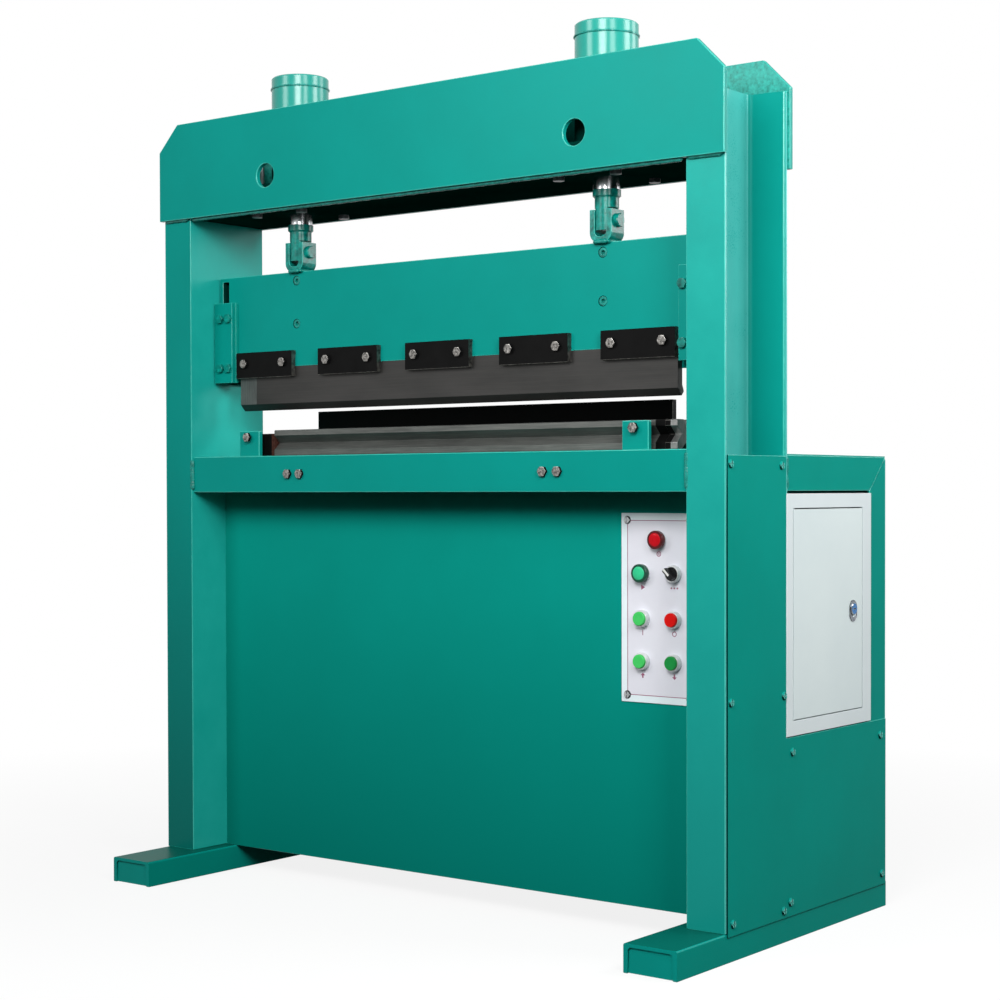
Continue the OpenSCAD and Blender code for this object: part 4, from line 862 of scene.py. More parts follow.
def raised_outline(
    form: Form, outline: Sequence[Point2], y: float, height: float, hole: Sequence[Point2] = ()
) -> None:
    """Adds a thin printed shape that stands on a face that looks to the front.

    Args:
        form: Mesh that gets the shape.
        outline: X and Z of its corners.
        y: Y of the face that it lies on.
        height: Its thickness.
        hole: X and Z of the corners of a hole with as many corners as the outline.
    """
    front, back, inner, inner_back = (
        [form.verts.new((x, y - out, z)) for x, z in points]
        for points, out in ((outline, height), (outline, 0.0), (hole, height), (hole, 0.0))
    )
    if hole:
        skin(form, [front, back, inner_back, inner, front])
        return
    skin(form, [front, back])
    form.faces.new(front)
    form.faces.new(back)


def round_corners(
    width: float, height: float, radius: float, centre: Point2 = (0.0, 0.0), steps: int = 6
) -> list[Point2]:
    """Corners of a rectangle with rounded corners.

    Args:
        width: Width of the rectangle.
        height: Height of the rectangle.
        radius: Radius of its corners.
        centre: Its middle.
        steps: Steps of each corner.

    Returns:
        Points in order round the rectangle.
    """
    points = []
    for turn, (sx, sz) in enumerate(((1, 1), (-1, 1), (-1, -1), (1, -1))):
        for k in range(steps + 1):
            t = math.radians(90 * turn + 90 * k / steps)
            x = centre[0] + sx * (width / 2 - radius) + radius * math.cos(t)
            points.append((x, centre[1] + sz * (height / 2 - radius) + radius * math.sin(t)))
    return points


# Sub-assemblies

Looks = tuple[tuple[str, Finish, float], ...]


@dataclass
class Assembly:
    """Pieces that stand in for CAD nodes, each with its corners rounded.

    Attributes:
        looks: Node, finish and rounding in millimetres of each, 0 where the CAD node itself shows.
        body: CAD body that they move with.
        pieces: The pieces by node, once they are dressed.
    """

    looks: Looks = ()
    body: str = "frame"
    pieces: dict[str, bpy.types.Object] = field(default_factory=dict)

    def build(self) -> None:
        """Dresses the nodes."""
        for node, finish, round_mm in self.looks:
            if round_mm:
                self.pieces[node] = dress(node, finish, round_mm, self.body)
            else:
                paint(node, finish)


@dataclass
class SteelFrame(Assembly):
    """Columns, feet, crown, beams and bench, with their welds.

    Attributes:
        columns: Left and right column, each with the finishes of its web and of its front flange.
        lit_reach_mm: How far in from the crown's open ends the rear plate is left without painted shade.
        bead_end_mm: How far a bead stops short of a corner.
        crown_bead_mm: Half the width of the crown's beads, and how far they stand out from the columns.
        bed_bead_mm: How far the bed's bead stops short of its ends, and how low it lies.
        beam_bead_mm: Half the width of the beams' beads, and how far they stand out in front.
        rail_bead_mm: Half the width of the rails' beads, and how far in from the columns' sides they lie.
        rail_bead_down_mm: Where these beads begin and end, down from the rails' top.
    """

    # painted shade: the cylinder bed is nearly black, and the front sheet darkens towards the bottom
    looks: Looks = (
        ("left_column", ENAMEL, 1.3), ("right_column", ENAMEL, 1.3), ("front_crown_plate", ENAMEL, 1.4),
        ("front_beam", ENAMEL, 1.4), ("bench_slab", ENAMEL, 1.4), ("rear_beam", ENAMEL, 1.4),
        ("die_tabs", ENAMEL, 1.4), ("left_foot", ENAMEL, 1.4), ("right_foot", ENAMEL, 1.4),
        ("rear_crown_plate", ENAMEL, 1.4), ("cylinder_bed", ENAMEL_PAINTED_SHADE, 1.4),
        ("front_sheet", ENAMEL_FRONT_PAINTED_SHADE, 0.5), ("bench_bolts", OILED_BOLT, 0.4),
    )
    # the webs carry painted sheen; the flanges carry painted shade towards the foot, and the right one
    # painted sheen too
    columns: tuple[tuple[str, Finish, Finish], ...] = (
        ("left_column", ENAMEL_WEB_PAINTED_SHEEN, ENAMEL_FLANGE_PAINTED_SHADE),
        ("right_column", ENAMEL_PEELED_PAINTED_SHEEN, ENAMEL_ROLLED_PAINTED_SHEEN),
    )
    lit_reach_mm: float = 95.0
    bead_end_mm: float = 4.0
    crown_bead_mm: tuple[float, float] = (4.0, 1.5)
    bed_bead_mm: tuple[float, float] = (6.0, 1.2)
    beam_bead_mm: tuple[float, float] = (4.8, 0.6)
    rail_bead_mm: tuple[float, float] = (2.4, 1.0)
    rail_bead_down_mm: tuple[float, float] = (57.0, 3.0)

    def build(self) -> None:
        """Dresses the frame and lays its welds."""
        super().build()
        for name, web, flange in self.columns:
            column, front = self.pieces[name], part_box(name)[0].y + MM
            # painted sheen on the web and painted shade low on the front flange, as the table above gives
            refinish(column, web, lambda face: abs(face.normal.x) > FACING and face.area > WALL_AREA)
            refinish(column, flange, lambda face: face.center.y < front and face.area > WALL_AREA)
        for name in ("left_foot", "right_foot"):
            # painted shade on the feet's tops
            refinish(self.pieces[name], ENAMEL_FEET_PAINTED_SHADE, lambda face: face.normal.z > FACING)
            refinish(self.pieces[name], ENAMEL_ON_SHEET, lambda face: face.normal.x > FACING)
        dark_flanks(self.pieces["bench_bolts"])
        self.rear_plate()
        self.crown_welds()
        self.beam_welds()
        self.rail_welds()

    def rear_plate(self) -> None:
        """Paints shade on the rear crown plate between the columns, deep inside the crown."""
        piece = self.pieces["rear_crown_plate"]
        refinish(piece, ENAMEL_SANDY, lambda face: face.normal.y < -FACING)
        low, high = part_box("cylinder_bed")
        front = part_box("rear_crown_plate")[0].y
        reach = self.lit_reach_mm * MM
        cut_across(piece, Axis.X, low.x, low.x + reach, high.x - reach, high.x)
        cut_across(piece, Axis.Z, high.z)

        def shaded(face: Face) -> bool:
            """Whether a face gets the painted shade."""
            depth = min(face.center.x - low.x, high.x - face.center.x)
            return abs(face.center.y - front) < 0.5 * MM and depth > (0 if face.center.z < high.z else reach)

        refinish(piece, ENAMEL_PAINTED_SHADE, shaded)

    def crown_welds(self) -> None:
        """Beads under the crown plates, across the columns, and the long one along the bed."""
        low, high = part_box("front_crown_plate")
        size, out = self.crown_bead_mm
        end = self.bead_end_mm * MM
        paths = []
        for name, *_ in self.columns:
            a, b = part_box(name)
            paths += [along_x(y, low.z, a.x + end, b.x - end) for y in (a.y - out * MM, b.y + out * MM)]
        a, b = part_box("cylinder_bed")
        end, down = (d * MM for d in self.bed_bead_mm)
        paths.append(along_x(high.y, low.z - down, a.x + end, b.x - end))
        weld_bead("crown_welds", paths, size, seed=3)

    def beam_welds(self) -> None:
        """Upright beads at both ends of the front and rear beams."""
        size, out = self.beam_bead_mm
        end = self.bead_end_mm * MM
        a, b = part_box("front_beam")
        paths = [upright(x, a.y - out * MM, a.z + end, b.z - end) for x in (a.x, b.x)]
        a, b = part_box("rear_beam")
        paths += [upright(x, b.y, a.z + end, b.z - end) for x in (a.x, b.x)]
        weld_bead("beam_welds", paths, size, seed=5)

    def rail_welds(self) -> None:
        """Short upright beads where the housing's side rails meet the columns."""
        size, aside = self.rail_bead_mm
        low, high = (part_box("housing_rails")[1].z - down * MM for down in self.rail_bead_down_mm)
        (left, left_back), (_, right_back) = (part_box(name) for name, *_ in self.columns)
        places = ((left.x + aside * MM, left_back.y), (right_back.x - aside * MM, right_back.y))
        weld_bead("rail_welds", [upright(x, y, low, high) for x, y in places], size, seed=7)


@dataclass
class Hydraulics(Assembly):
    """The two cylinders on the bed.

    Attributes:
        bead_mm: Half the width of the cap's weld.
        cap_mm: Thickness of the cap that closes a cylinder.
        rim_mm: Depth below the cap's top in which its rim is widest.
        shade_mm: Depth below the crown's top from which the cylinders get painted shade.
    """

    looks: Looks = (("left_cylinder", ENAMEL_GLOSS, 1.0), ("right_cylinder", ENAMEL_GLOSS, 1.0))
    bead_mm: float = 2.0
    cap_mm: float = 21.5
    rim_mm: float = 4.0
    shade_mm: float = 30.0

    def build(self) -> None:
        """Dresses the cylinders and lays the ring weld under each cap."""
        super().build()
        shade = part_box("front_crown_plate")[1].z - self.shade_mm * MM
        rings = []
        for node, piece in self.pieces.items():
            # painted shade on the cylinders below the crown's top
            cut_across(piece, Axis.Z, shade)
            refinish(piece, ENAMEL_PAINTED_SHADE, lambda face: face.center.z < shade)
            a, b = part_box(node)
            middle = Vector(((a.x + b.x) / 2, a.y + (b.x - a.x) / 2, b.z - self.cap_mm * MM))
            cad = [v.co for v in frame["nodes"][node].data.vertices]
            rim = [abs(place.x - middle.x) for place in cad if place.z > b.z - self.rim_mm * MM]
            rings.append(ring_path(middle, max(rim)))
        weld_bead("cylinder_cap_welds", rings, self.bead_mm, seed=21)


@dataclass
class CylinderFittings(Assembly):
    """Glands and bolts of the cylinders."""

    # painted shade: the glands and the bolts under the crown are dark
    looks: Looks = (("cylinder_glands", ENAMEL_PAINTED_SHADE, 0), ("cylinder_bolts", ZINC_PAINTED_SHADE, 0.4))


@dataclass
class RamAssembly(Assembly):
    """Ram plate with its rods, clevises and pins.

    Attributes:
        rim_mm: Width of the ram plate's rim; inside it, faces that look up, down or aside get painted shade.
        clevis_mm: Width of a clevis.
        bead_mm: Half the width of its beads.
        foot_bead_mm: How far the foot's beads lie in from the clevis' sides, and how high.
        cheek_bead_mm: The same for the bead between its cheeks.
    """

    looks: Looks = (
        ("ram_backing_bars", ENAMEL, 1.2), ("ram_plate", ENAMEL, 1.2), ("rod_ends", ENAMEL_RUNS, 0.8),
        ("clevises", ENAMEL_RUNS, 0.8), ("clevis_pins", ENAMEL_RUNS, 0.8), ("left_rod", CHROME, 0),
        ("right_rod", CHROME, 0), ("ram_screws", ENAMEL_RUNS, 0.3),
    )
    body: str = "ram"
    rim_mm: float = 4.0
    clevis_mm: float = 45.0
    bead_mm: float = 3.8
    foot_bead_mm: tuple[float, float] = (8.0, 1.0)
    cheek_bead_mm: tuple[float, float] = (11.0, 13.0)

    def build(self) -> None:
        """Dresses the ram and welds the clevises to it."""
        super().build()
        rim = Vector((1, 0, 1)) * self.rim_mm * MM
        low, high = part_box("ram_plate")
        low, high = low + rim, high - rim

        def shaded(face: Face) -> bool:
            """Whether a face lies inside the rim and looks up, down or aside."""
            return abs(face.normal.y) < FLANK and inside(face, low, high)

        # painted shade on the walls of the plate's holes and slots
        refinish(self.pieces["ram_plate"], ENAMEL_PAINTED_SHADE, shaded)
        self.clevis_welds()

    def clevis_welds(self) -> None:
        """Beads round the foot of each clevis and between its cheeks."""
        a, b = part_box("clevises")
        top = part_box("ram_plate")[1].z
        width = self.clevis_mm * MM
        aside, up, cheek_in, cheek_up = (d * MM for d in self.foot_bead_mm + self.cheek_bead_mm)
        paths = []
        for left, right in ((a.x, a.x + width), (b.x - width, b.x)):
            paths.append(along_x(a.y, top + up, left + aside, right - aside))
            paths += [[Vector((x, y, top + up)) for y in (a.y, b.y)] for x in (left + aside, right - aside)]
            paths.append(along_x((a.y + b.y) / 2, top + cheek_up, left + cheek_in, right - cheek_in))
        weld_bead("clevis_welds", paths, self.bead_mm, seed=9, body=self.body)


@dataclass
class UpperTools(Assembly):
    """Clamps and punch on the ram.

    Attributes:
        rubbed_mm: Length of the punch's pale end, where it is pushed into the clamps.
    """

    looks: Looks = (
        ("clamp_plates", BLACK_OXIDE, 0.9), ("clamp_bolts", OILED_BOLT, 0.5), ("punch", GROUND_TOOL, 0.4),
    )
    body: str = "ram"
    rubbed_mm: float = 44.0

    def build(self) -> None:
        """Dresses the clamps and the punch."""
        super().build()
        refinish(self.pieces["clamp_plates"], RUBBED_END, lambda face: face.normal.x > FACING)
        dark_flanks(self.pieces["clamp_bolts"])
        punch, end = self.pieces["punch"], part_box("punch")[0].x + self.rubbed_mm * MM
        cut_across(punch, Axis.X, end)
        refinish(punch, RUBBED_TOOL, lambda face: face.center.x < end and face.normal.y < -FACING)


@dataclass
class LowerDie(Assembly):
    """The four-way die and the blocks at its ends: a black one with a rusty joint, and a milled one.

    Attributes:
        black_mm: Length of the blackened block beyond the right tab.
        rust_mm: Width of the rusty joint at the left end.
    """

    looks: Looks = (("lower_die", WORN_DIE, 0.35), ("die_end_blocks", BLACK_OXIDE, 0.35))
    black_mm: float = 30.0
    rust_mm: float = 9.0

    def build(self) -> None:
        """Dresses the die."""
        super().build()
        die, blocks = self.pieces.values()
        tab_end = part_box("die_tabs")[1].x
        cut_across(die, Axis.X, tab_end)
        refinish(die, BLACK_OXIDE, lambda face: face.center.x > tab_end)
        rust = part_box("lower_die")[0].x - self.rust_mm * MM
        milled = tab_end + self.black_mm * MM
        cut_across(blocks, Axis.X, rust, milled)
        refinish(blocks, RUST, lambda face: rust < face.center.x < 0)
        refinish(blocks, MILLED_END, lambda face: face.center.x > milled)


@dataclass
class RamGuides(Assembly):
    """Guide plates, wear strips and brackets beside the ram."""

    # the brackets behind the ram are nearly black with painted shade
    looks: Looks = (
        ("guide_plates", ENAMEL, 0.8), ("guide_brackets", ENAMEL_PAINTED_SHADE, 1.0),
        ("wear_strips", ENAMEL_GLOSS, 0.6), ("guide_bolts", ENAMEL_RUNS, 0.4),
    )


@dataclass
class BackGauge(Assembly):
    """Gauge bar and the sleeves that carry it."""

    looks: Looks = (("gauge_bar", BLACK_OXIDE, 0.8), ("gauge_sleeves", MACHINED, 0.8))
    body: str = "gauge"


@dataclass
class GaugeRods(Assembly):
    """The two rods that the back gauge slides on."""

    looks: Looks = (("gauge_rods", MACHINED, 0.8),)


@dataclass
class RearHousing(Assembly):
    """Angle frame and sheet covers behind the columns.

    Attributes:
        lap_mm: Width of the right cover's front and lower laps.
        head_share: Width of the screws' washer faces against their heads.
        washer_turn: Share of its normal along X above which a screw's face looks out of the right cover.
        upper_turn: Share of its normal along Z above which the sky lights a face of these screws.
        front_turn: Share of its normal along Y above which a face of the panel's screws is in shade.
        panel_reach_mm: Depth behind the panel in which its own screws lie.
        low_band_mm: Height of the band at the cover's foot that holds its lowest screws.
        low_step_mm: Step from the middle one of these to the second screw beside it.
        bead_mm: Half the width of the mitres' beads.
        mitre_mm: Where these beads begin and end, in from the frame's corner.
    """

    looks: Looks = (
        ("housing_posts", ENAMEL_ON_SHEET, 1.0), ("housing_rails", ENAMEL_ON_SHEET, 1.0),
        ("left_side_cover", ENAMEL_ON_SHEET, 0.5), ("rear_cover", ENAMEL_ON_SHEET, 0.5),
        ("top_cover", ENAMEL_ON_SHEET, 0.5), ("right_side_cover", ENAMEL_ON_SHEET, 0.5),
        ("cover_screws", ENAMEL, 0.3),
    )
    lap_mm: float = 1.5
    head_share: float = 1.45
    washer_turn: float = 0.6
    upper_turn: float = 0.2
    front_turn: float = -0.8
    panel_reach_mm: float = 10.0
    low_band_mm: float = 35.0
    low_step_mm: tuple[float, float, float] = (0.0, -23.0, -11.0)
    bead_mm: float = 0.7
    mitre_mm: tuple[float, float] = (56.0, 4.0)

    def build(self) -> None:
        """Dresses the housing."""
        super().build()
        cover = self.pieces["right_side_cover"]
        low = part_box("right_side_cover")[0] + Vector((0, 1, 1)) * self.lap_mm * MM
        refinish(cover, ENAMEL_ON_SHEET, lambda face: face.center.z < low.z)
        # painted shade along the cover's front lap, a dark line beside the column
        refinish(cover, ENAMEL_PAINTED_SHADE, lambda face: face.center.y < low.y)
        self.screws()
        self.mitre_welds()

    def screws(self) -> None:
        """Painted screws on the covers, and bare ones on the panel."""
        piece = self.pieces["cover_screws"]
        widen_islands(piece, self.head_share)
        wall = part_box("right_side_cover")[0].x
        low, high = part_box("panel_plate")
        back = high.y + self.panel_reach_mm * MM

        def on_washer(face: Face) -> bool:
            """Whether a face looks out of the right cover."""
            return face.center.x > wall and face.normal.x > self.washer_turn

        def undercut(face: Face) -> bool:
            """Whether a face on the right cover looks down or aside."""
            aside = face.normal.x < self.washer_turn and face.normal.z < self.upper_turn
            return face.center.x > wall and aside

        def on_panel(face: Face) -> bool:
            """Whether a face belongs to one of the panel's screws."""
            return face.center.y < back and inside(face, low, high)

        # painted shade under and beside the heads on the right cover, and a painted highlight on their faces
        # that look out of it
        refinish(piece, ENAMEL_PAINTED_SHADE, undercut)
        refinish(piece, ENAMEL_EDGE_HIGHLIGHT, on_washer)
        refinish(piece, ZINC, on_panel)
        # painted shade on the flanks of the panel's screws
        refinish(piece, ZINC_PAINTED_SHADE, lambda face: on_panel(face) and face.normal.y > self.front_turn)
        self.second_low_screw(piece)

    def second_low_screw(self, screws: bpy.types.Object) -> None:
        """Sets one more screw beside the middle one at the foot of the right cover.

        Args:
            screws: The finished cover screws, which it is copied from.
        """
        low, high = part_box("right_side_cover")
        middle, quarter = (low.y + high.y) / 2, (high.y - low.y) / 4
        top = low.z + self.low_band_mm * MM
        form = bmesh.new()
        form.from_mesh(screws.data)
        others = [
            vert for vert in form.verts
            if vert.co.x < low.x or vert.co.z > top or abs(vert.co.y - middle) > quarter
        ]
        bmesh.ops.delete(form, geom=others, context="VERTS")
        bmesh.ops.translate(form, verts=form.verts, vec=Vector(self.low_step_mm) * MM)
        name = "low_cover_screw"
        piece = show(as_mesh(form, name), name, ENAMEL, slot=slot_of("cover_screws"))
        for material in list(screws.data.materials)[1:]:
            piece.data.materials.append(material)

    def mitre_welds(self) -> None:
        """Ground-down beads along the mitres of the angle frame."""
        a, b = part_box("housing_posts")
        ins = [d * MM for d in self.mitre_mm]
        paths = [[Vector((x, b.y - d, b.z - d)) for d in ins] for x in (a.x, b.x)]
        weld_bead("frame_mitre_welds", paths, self.bead_mm, seed=12)


@dataclass
class ElectricBox(Assembly):
    """White electric box, without its door."""

    looks: Looks = (("electric_box", POWDER_COAT, 0.4),)


@dataclass
class BoxDoor(Assembly):
    """Door of the electric box, with the rose of its lock.

    Attributes:
        rose_mm: How far a face of the rose stands out of the box's front, at least.
        lock_share: Width of the plated rose and lock against the bare ones.
    """

    looks: Looks = (("cabinet_door", DOOR_COAT, 0.45),)
    body: str = "door"
    rose_mm: float = 0.3
    lock_share: float = 1.18

    def build(self) -> None:
        """Dresses the door."""
        super().build()
        door, rose = self.pieces["cabinet_door"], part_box("electric_box")[1].x + self.rose_mm * MM
        # painted reflection in patches on the rose, and painted shade on its flanks
        refinish(door, NICKEL_PAINTED_REFLECTION, lambda face: face.center.x > rose)
        refinish(door, FLANK_PAINTED_SHADE, lambda face: face.center.x > rose and face.normal.x < 0.3)
        swell(door, self.lock_share, lambda face: face.center.x > rose)


@dataclass
class DoorLock(Assembly):
    """Turning part of the lock.

    Attributes:
        barrel_mm: How far a face of the barrel stands out of the box's front, at least.
        lock_share: Width of the plated lock against the bare one.
    """

    # the lock's nickel has a painted reflection in patches
    looks: Looks = (("door_lock", NICKEL_PAINTED_REFLECTION, 0.3),)
    body: str = "lock"
    barrel_mm: float = 2.0
    lock_share: float = BoxDoor.lock_share

    def build(self) -> None:
        """Dresses the lock."""
        super().build()
        lock, barrel = self.pieces["door_lock"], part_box("electric_box")[1].x + self.barrel_mm * MM
        swell(lock, self.lock_share, lambda face: True)
        # painted reflection: a deep blue on the barrel's face
        refinish(lock, BLUE_PAINTED_REFLECTION, lambda face: face.normal.x > FACING and face.center.x > barrel)


@dataclass
class Switchgear(Assembly):
    """Contactors and their plate in the electric box."""

    looks: Looks = (("switchgear", CASE_PLASTIC, 0.8),)


class Pictogram(Enum):
    """Plain signs that machine panels use, printed under the fittings; each value is its fitting's node."""

    LAMP = "power_lamp"
    RUN = "run_lamp"
    TURN = "selector_knob"
    START = "start_button"
    STOP = "stop_button"
    UP = "up_button"
    DOWN = "down_button"


@dataclass
class ControlPanel(Assembly):
    """Panel plate with its printing, lamps, selector and push buttons.

    Attributes:
        caps: Looks of the buttons' caps, each with its body.
        selector: Look of the selector, with its body.
        lamps: Each lamp's node with the finishes of its lens and rim.
        ink_mm: Thickness of the printed ink, drawn thick enough to show.
        border_in_mm: Distance of the border from the plate's edge.
        border_w_mm: Width of the border line.
        border_round_mm: Radius of its corners, outside and inside.
        sign_mm: Size of the printed signs.
        sign_down_mm: How far a sign lies below its fitting's middle.
        dome_mm: Height of a lamp's dome.
        lens_share: Radius of the lens against the bare lamp's.
        stem_share: Radius of the stem behind the rim against the bare lamp's.
        collar_mm: How far a lamp's rim stands out over its bezel.
        skirt_mm: Distance of the rim's back edge from the foot of the lamp.
        pointer_mm: Where the selector's stripe begins and ends from its axis, and half its width.
        stripe_mm: How deep the stripe is let in, and its thickness.
    """

    looks: Looks = (("panel_plate", PANEL_WHITE, 0.5), ("button_bezels", BEZEL, 0.4))
    caps: tuple[tuple[str, Finish, float, str], ...] = (
        ("start_button", GREEN_CAP, 0.35, "start_cap"), ("stop_button", RED_CAP, 0.35, "stop_cap"),
        ("up_button", GREEN_CAP, 0.35, "up_cap"), ("down_button", DARK_GREEN_CAP, 0.35, "down_cap"),
    )
    selector: tuple[str, Finish, float, str] = ("selector_knob", BLACK_PLASTIC, 0.4, "selector")
    lamps: tuple[tuple[str, Finish, Finish], ...] = (
        ("power_lamp", RED_LENS, RED_RIM),
        ("run_lamp", GREEN_LENS, GREEN_RIM),
    )
    ink_mm: float = 0.15
    border_in_mm: float = 12.0
    border_w_mm: float = 1.2
    border_round_mm: tuple[float, float] = (5.0, 4.0)
    sign_mm: float = 9.0
    sign_down_mm: float = 24.0
    dome_mm: float = 2.0
    lens_share: float = 0.81
    stem_share: float = 0.38
    collar_mm: float = 1.4
    skirt_mm: float = 8.5
    pointer_mm: tuple[float, float, float] = (-3.0, 11.5, 1.9)
    stripe_mm: tuple[float, float] = (0.05, 0.1)

    def build(self) -> None:
        """Dresses the panel and prints its border and signs."""
        super().build()
        for look in self.caps:
            dress(*look)
        for lamp in self.lamps:
            self.lamp(*lamp)
        self.bright_strip()
        dress(*self.selector)
        self.pointer()
        self.print_border()
        self.print_signs()

    def bright_strip(self) -> None:
        """Gives the plate a brighter strip outside its border."""
        piece = self.pieces["panel_plate"]
        inset = Vector((1, 0, 1)) * (self.border_in_mm + self.border_w_mm / 2) * MM
        low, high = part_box("panel_plate")
        low, high = low + inset, high - inset
        for corner in (low, high):
            cut_across(piece, Axis.X, corner.x)
            cut_across(piece, Axis.Z, corner.z)
        refinish(piece, PANEL_RIM, lambda face: not inside(face, low, high))

    def lamp(self, name: str, finish: Finish, rim: Finish) -> None:
        """Replaces a lamp with a domed lens in a rim that fills the bezel.

        Args:
            name: Name of the lamp's node.
            finish: Finish of the lens.
            rim: Finish of the rim.
        """
        low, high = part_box(name)
        centre = middle_of(name)
        centre.y = high.y
        bare, seat = (high.x - low.x) / 2 / MM, (high.y - low.y) / MM - self.dome_mm
        lens, stem, edge = bare * self.lens_share, bare * self.stem_share, bare + self.collar_mm
        turns = (math.radians(10 * k) for k in range(10))
        dome = [(lens * math.sin(t), seat + self.dome_mm * math.cos(t)) for t in turns]
        # slope at the rim's edge, and the gap between rim and lens
        slope, gap = 1.0, 0.1
        low_seat = seat - slope
        back = [(lens, low_seat - 2 * gap), (0.0, low_seat - 2 * gap)]
        collar = [
            (0.0, low_seat), (lens + gap, low_seat), (lens + gap, seat + 2 * gap), (edge - slope, seat),
            (edge, low_seat), (edge, self.skirt_mm), (stem, self.skirt_mm), (stem, 0.0), (0.0, 0.0),
        ]
        for part, profile, look in (("_lens", dome + back, finish), ("_rim", collar, rim)):
            piece = show(turned(name + part, profile, centre), name + part, look, slot=slot_of(name))
            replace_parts(piece, name)

    def pointer(self) -> None:
        """White stripe on the selector's handle."""
        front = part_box("selector_knob")[0].y
        along, across = Vector((-1, 1)).normalized(), Vector((1, 1)).normalized()
        near, far, half = (d * MM for d in self.pointer_mm)
        corners = [
            middle_of("selector_knob").xz + along * s + across * t
            for s, t in ((near, -half), (far, -half), (far, half), (near, half))
        ]
        sunk, thick = (d * MM for d in self.stripe_mm)
        form = bmesh.new()
        raised_outline(form, [tuple(corner) for corner in corners], front + sunk, thick)
        show(finish_mesh(form, "selector_pointer"), "selector_pointer", WHITE_INK, "selector")

    def print_border(self) -> None:
        """Prints the line round the panel."""
        low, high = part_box("panel_plate")
        centre = tuple(middle_of("panel_plate").xz)
        form = bmesh.new()
        ins = (self.border_in_mm, self.border_in_mm + self.border_w_mm)
        outline, hole = (
            round_corners(high.x - low.x - 2 * d * MM, high.z - low.z - 2 * d * MM, radius * MM, centre)
            for d, radius in zip(ins, self.border_round_mm)
        )
        raised_outline(form, outline, low.y, self.ink_mm * MM, hole)
        show(finish_mesh(form, "panel_border"), "panel_border", PANEL_INK)

    def sign(self, kind: Pictogram) -> list[Shape]:
        """Shapes of a sign, centred on zero.

        Args:
            kind: Which sign.

        Returns:
            Outlines, each with its hole or an empty list.
        """
        r = self.sign_mm * MM / 2
        w = r * 0.3
        k = r * 0.62

        def bar(half_w: float, half_h: float, x: float = 0.0, lean: float = 0.0) -> Shape:
            """Bar that leans this far to the right at its top."""
            feet = [(x - lean - half_w, -half_h), (x - lean + half_w, -half_h)]
            return (feet + [(x + lean + half_w, half_h), (x + lean - half_w, half_h)], [])

        ring = (round_corners(2 * r, 2 * r, r), round_corners(2 * (r - w), 2 * (r - w), r - w))
        arrow = [(-r, 0), (0, r), (r, 0), (w, 0), (w, -r), (-w, -r), (-w, 0)]
        return {
            Pictogram.LAMP: [ring, bar(w / 3, k, lean=k), bar(w / 3, -k, lean=k)],
            Pictogram.RUN: [([(-r * 0.7, -r), (r, 0), (-r * 0.7, r)], [])],
            Pictogram.TURN: [bar(r * 0.35, w, x) for x in (-r * 1.3, 0, r * 1.3)],
            Pictogram.START: [bar(w / 2, r)],
            Pictogram.STOP: [ring],
            Pictogram.UP: [(arrow, [])],
            Pictogram.DOWN: [([(x, -z) for x, z in arrow], [])],
        }[kind]

    def print_signs(self) -> None:
        """Prints a sign under each fitting."""
        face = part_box("panel_plate")[0].y
        form = bmesh.new()
        for kind in Pictogram:
            middle = middle_of(kind.value)
            x, z = middle.x, middle.z - self.sign_down_mm * MM
            for shape in self.sign(kind):
                outline, hole = ([(x + u, z + v) for u, v in loop] for loop in shape)
                raised_outline(form, outline, face, self.ink_mm * MM, hole)
        show(finish_mesh(form, "panel_signs"), "panel_signs", PANEL_INK)


@dataclass
class PowerPack(Assembly):
    """Oil tank, motor and pipes inside and behind the frame."""

    # the tank inside the frame is nearly black with painted shade
    looks: Looks = (
        ("oil_tank", ENAMEL_PAINTED_SHADE, 1.2), ("pump_motor", CAST_IRON, 0.6), ("oil_lines", MACHINED, 0),
    )


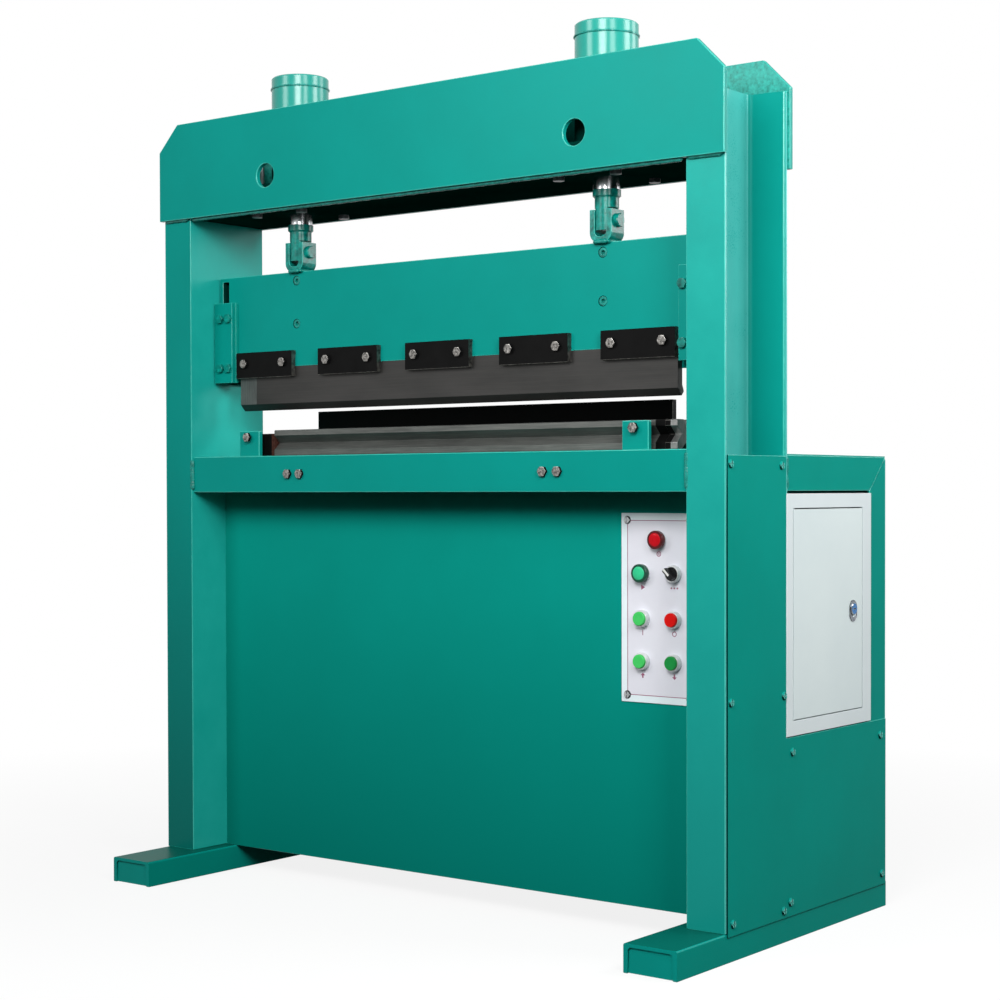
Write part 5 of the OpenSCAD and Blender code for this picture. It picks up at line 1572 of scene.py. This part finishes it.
@dataclass
class Studio:
    """Camera, floor and light.

    Attributes:
        eye: Camera place.
        yaw_deg: Turn of the camera about Z.
        pitch_deg: Its tilt up.
        roll_deg: Its roll.
        lens_mm: Focal length on a 36 mm sensor.
        shift_y: Vertical shift of the lens.
        lamps: Name, place, width and height, and watts of each lamp.
        ambient: Strength of the light that comes from all round.
        aim: Point that the lamps face.
        floor_m: Radius of the floor.
        floor_glow: Share of pure white in the floor, near the machine and far from it.
        glow_m: Distances from the middle at which these hold.
        floor_grey: The floor's colour as it lights the machine.
        floor_white: Its colour as it is seen.
    """

    eye: tuple[float, float, float] = (2.2758, -2.8924, 0.7606)
    yaw_deg: float = 37.80
    pitch_deg: float = -1.01
    roll_deg: float = -0.13
    lens_mm: float = 70.53
    shift_y: float = 0.0239
    lamps: tuple[tuple[str, tuple[float, float, float], tuple[float, float], float], ...] = (
        ("front_light", (1.15, -2.3, 2.1), (1.0, 1.0), 57.0),
        ("side_light", (2.0, -1.25, 1.8), (0.6, 1.6), 27.0),
        ("right_light", (2.1, 0.6, 2.1), (0.8, 0.8), 26.0),
        ("rear_light", (2.4, 3.0, 2.0), (1.3, 1.2), 30.0),
        ("sheen_light", (-1.4, -3.3, 2.4), (1.2, 1.2), 38.0),
    )
    ambient: float = 0.15
    aim: tuple[float, float, float] = (0.0, 0.0, 1.1)
    floor_m: float = 30.0
    floor_glow: tuple[float, float] = (0.86, 1.0)
    glow_m: tuple[float, float] = (0.8, 2.4)
    floor_grey: str = "#262626"
    floor_white: str = "#f2f2f2"

    def build(self) -> None:
        """Sets up the studio."""
        self.camera()
        self.floor()
        self.world()
        for name, place, size, power in self.lamps:
            self.lamp(name, Vector(place), size, power)

    def camera(self) -> None:
        """Places the camera."""
        data = bpy.data.cameras.new("camera")
        data.sensor_width = 36
        data.lens = self.lens_mm
        data.shift_y = self.shift_y
        camera = stand("camera", data)
        camera.matrix_world = (
            Matrix.Translation(self.eye)
            @ Matrix.Rotation(math.radians(self.yaw_deg), 4, "Z")
            @ Matrix.Rotation(math.radians(90 + self.pitch_deg), 4, "X")
            @ Matrix.Rotation(math.radians(self.roll_deg), 4, "Z")
        )
        bpy.context.scene.camera = camera

    def seen_directly(self, tree: bpy.types.NodeTree) -> Socket:
        """Tells rays that show the studio itself from the light that falls on things.

        Args:
            tree: Node tree that gets the nodes.

        Returns:
            1 for rays of the camera, of reflections and of glass, and 0 for others.
        """
        rays = add_node(tree, "ShaderNodeLightPath").outputs
        seen = rays["Is Camera Ray"]
        for other in ("Is Glossy Ray", "Is Transmission Ray"):
            seen = add_node(tree, "ShaderNodeMath", {0: seen, 1: rays[other]}, operation="MAXIMUM").outputs[0]
        return seen

    def floor(self) -> None:
        """Pale floor that keeps a soft shadow near the machine and fades to white further out."""
        form = bmesh.new()
        bmesh.ops.create_circle(form, cap_ends=True, radius=self.floor_m, segments=96)
        floor = stand("floor", as_mesh(form, "floor"))
        made = bpy.data.materials.new("pale_studio_floor")
        tree = cleared(made)
        where = add_node(tree, "ShaderNodeTexCoord").outputs["Object"]
        far = add_node(tree, "ShaderNodeVectorMath", {0: where}, operation="LENGTH").outputs["Value"]
        names = ("From Min", "From Max", "To Min", "To Max")
        spread = dict(zip(names, self.glow_m + self.floor_glow))
        fade = add_node(tree, "ShaderNodeMapRange", {"Value": far} | spread).outputs[0]
        seen = self.seen_directly(tree)
        share = add_node(tree, "ShaderNodeMath", {0: fade, 1: seen}, operation="MULTIPLY").outputs[0]
        tones = {0: seen, 6: linear(self.floor_grey), 7: linear(self.floor_white)}
        tone = add_node(tree, "ShaderNodeMix", tones, data_type="RGBA").outputs[2]
        matt = add_node(tree, "ShaderNodeBsdfDiffuse", {"Color": tone}).outputs[0]
        white = add_node(tree, "ShaderNodeEmission", {"Color": (1, 1, 1, 1), "Strength": 1.0}).outputs[0]
        both = add_node(tree, "ShaderNodeMixShader", {0: share, 1: matt, 2: white}).outputs[0]
        add_node(tree, "ShaderNodeOutputMaterial", {"Surface": both})
        floor.data.materials.append(made)

    def world(self) -> None:
        """White surroundings that light the machine softly."""
        world = bpy.data.worlds.new("studio")
        bpy.context.scene.world = world
        tree = cleared(world)
        seen = self.seen_directly(tree)
        strength = add_node(tree, "ShaderNodeMapRange", {"Value": seen, "To Min": self.ambient}).outputs[0]
        sky = add_node(tree, "ShaderNodeBackground", {"Color": (1, 1, 1, 1), "Strength": strength}).outputs[0]
        add_node(tree, "ShaderNodeOutputWorld", {"Surface": sky})

    def lamp(self, name: str, place: Vector, size: Point2, power: float) -> None:
        """Adds a soft rectangular lamp that faces the machine.

        Args:
            name: Name of the lamp.
            place: Its place.
            size: Its width and height.
            power: Its power in watts.
        """
        data = bpy.data.lights.new(name, "AREA")
        data.shape = "RECTANGLE"
        data.size, data.size_y = size
        data.energy = power
        lamp = stand(name, data)
        lamp.location = place
        lamp.visible_camera = False
        lamp.rotation_euler = (Vector(self.aim) - place).to_track_quat("-Z", "Y").to_euler()


def main() -> None:
    """Builds the studio and the machine, sub-assembly by sub-assembly."""
    logging.basicConfig(level=logging.INFO, format="%(message)s")
    bpy.context.scene.view_settings.view_transform = "Standard"
    builders: tuple[Studio | Assembly, ...] = (
        Studio(), SteelFrame(), Hydraulics(), CylinderFittings(), RamAssembly(), UpperTools(), LowerDie(),
        RamGuides(), BackGauge(), GaugeRods(), RearHousing(), ElectricBox(), BoxDoor(), DoorLock(),
        Switchgear(), ControlPanel(), PowerPack(),
    )
    for builder in builders:
        log.info("-- %s", type(builder).__name__)
        builder.build()


if __name__ == "__main__":
    main()
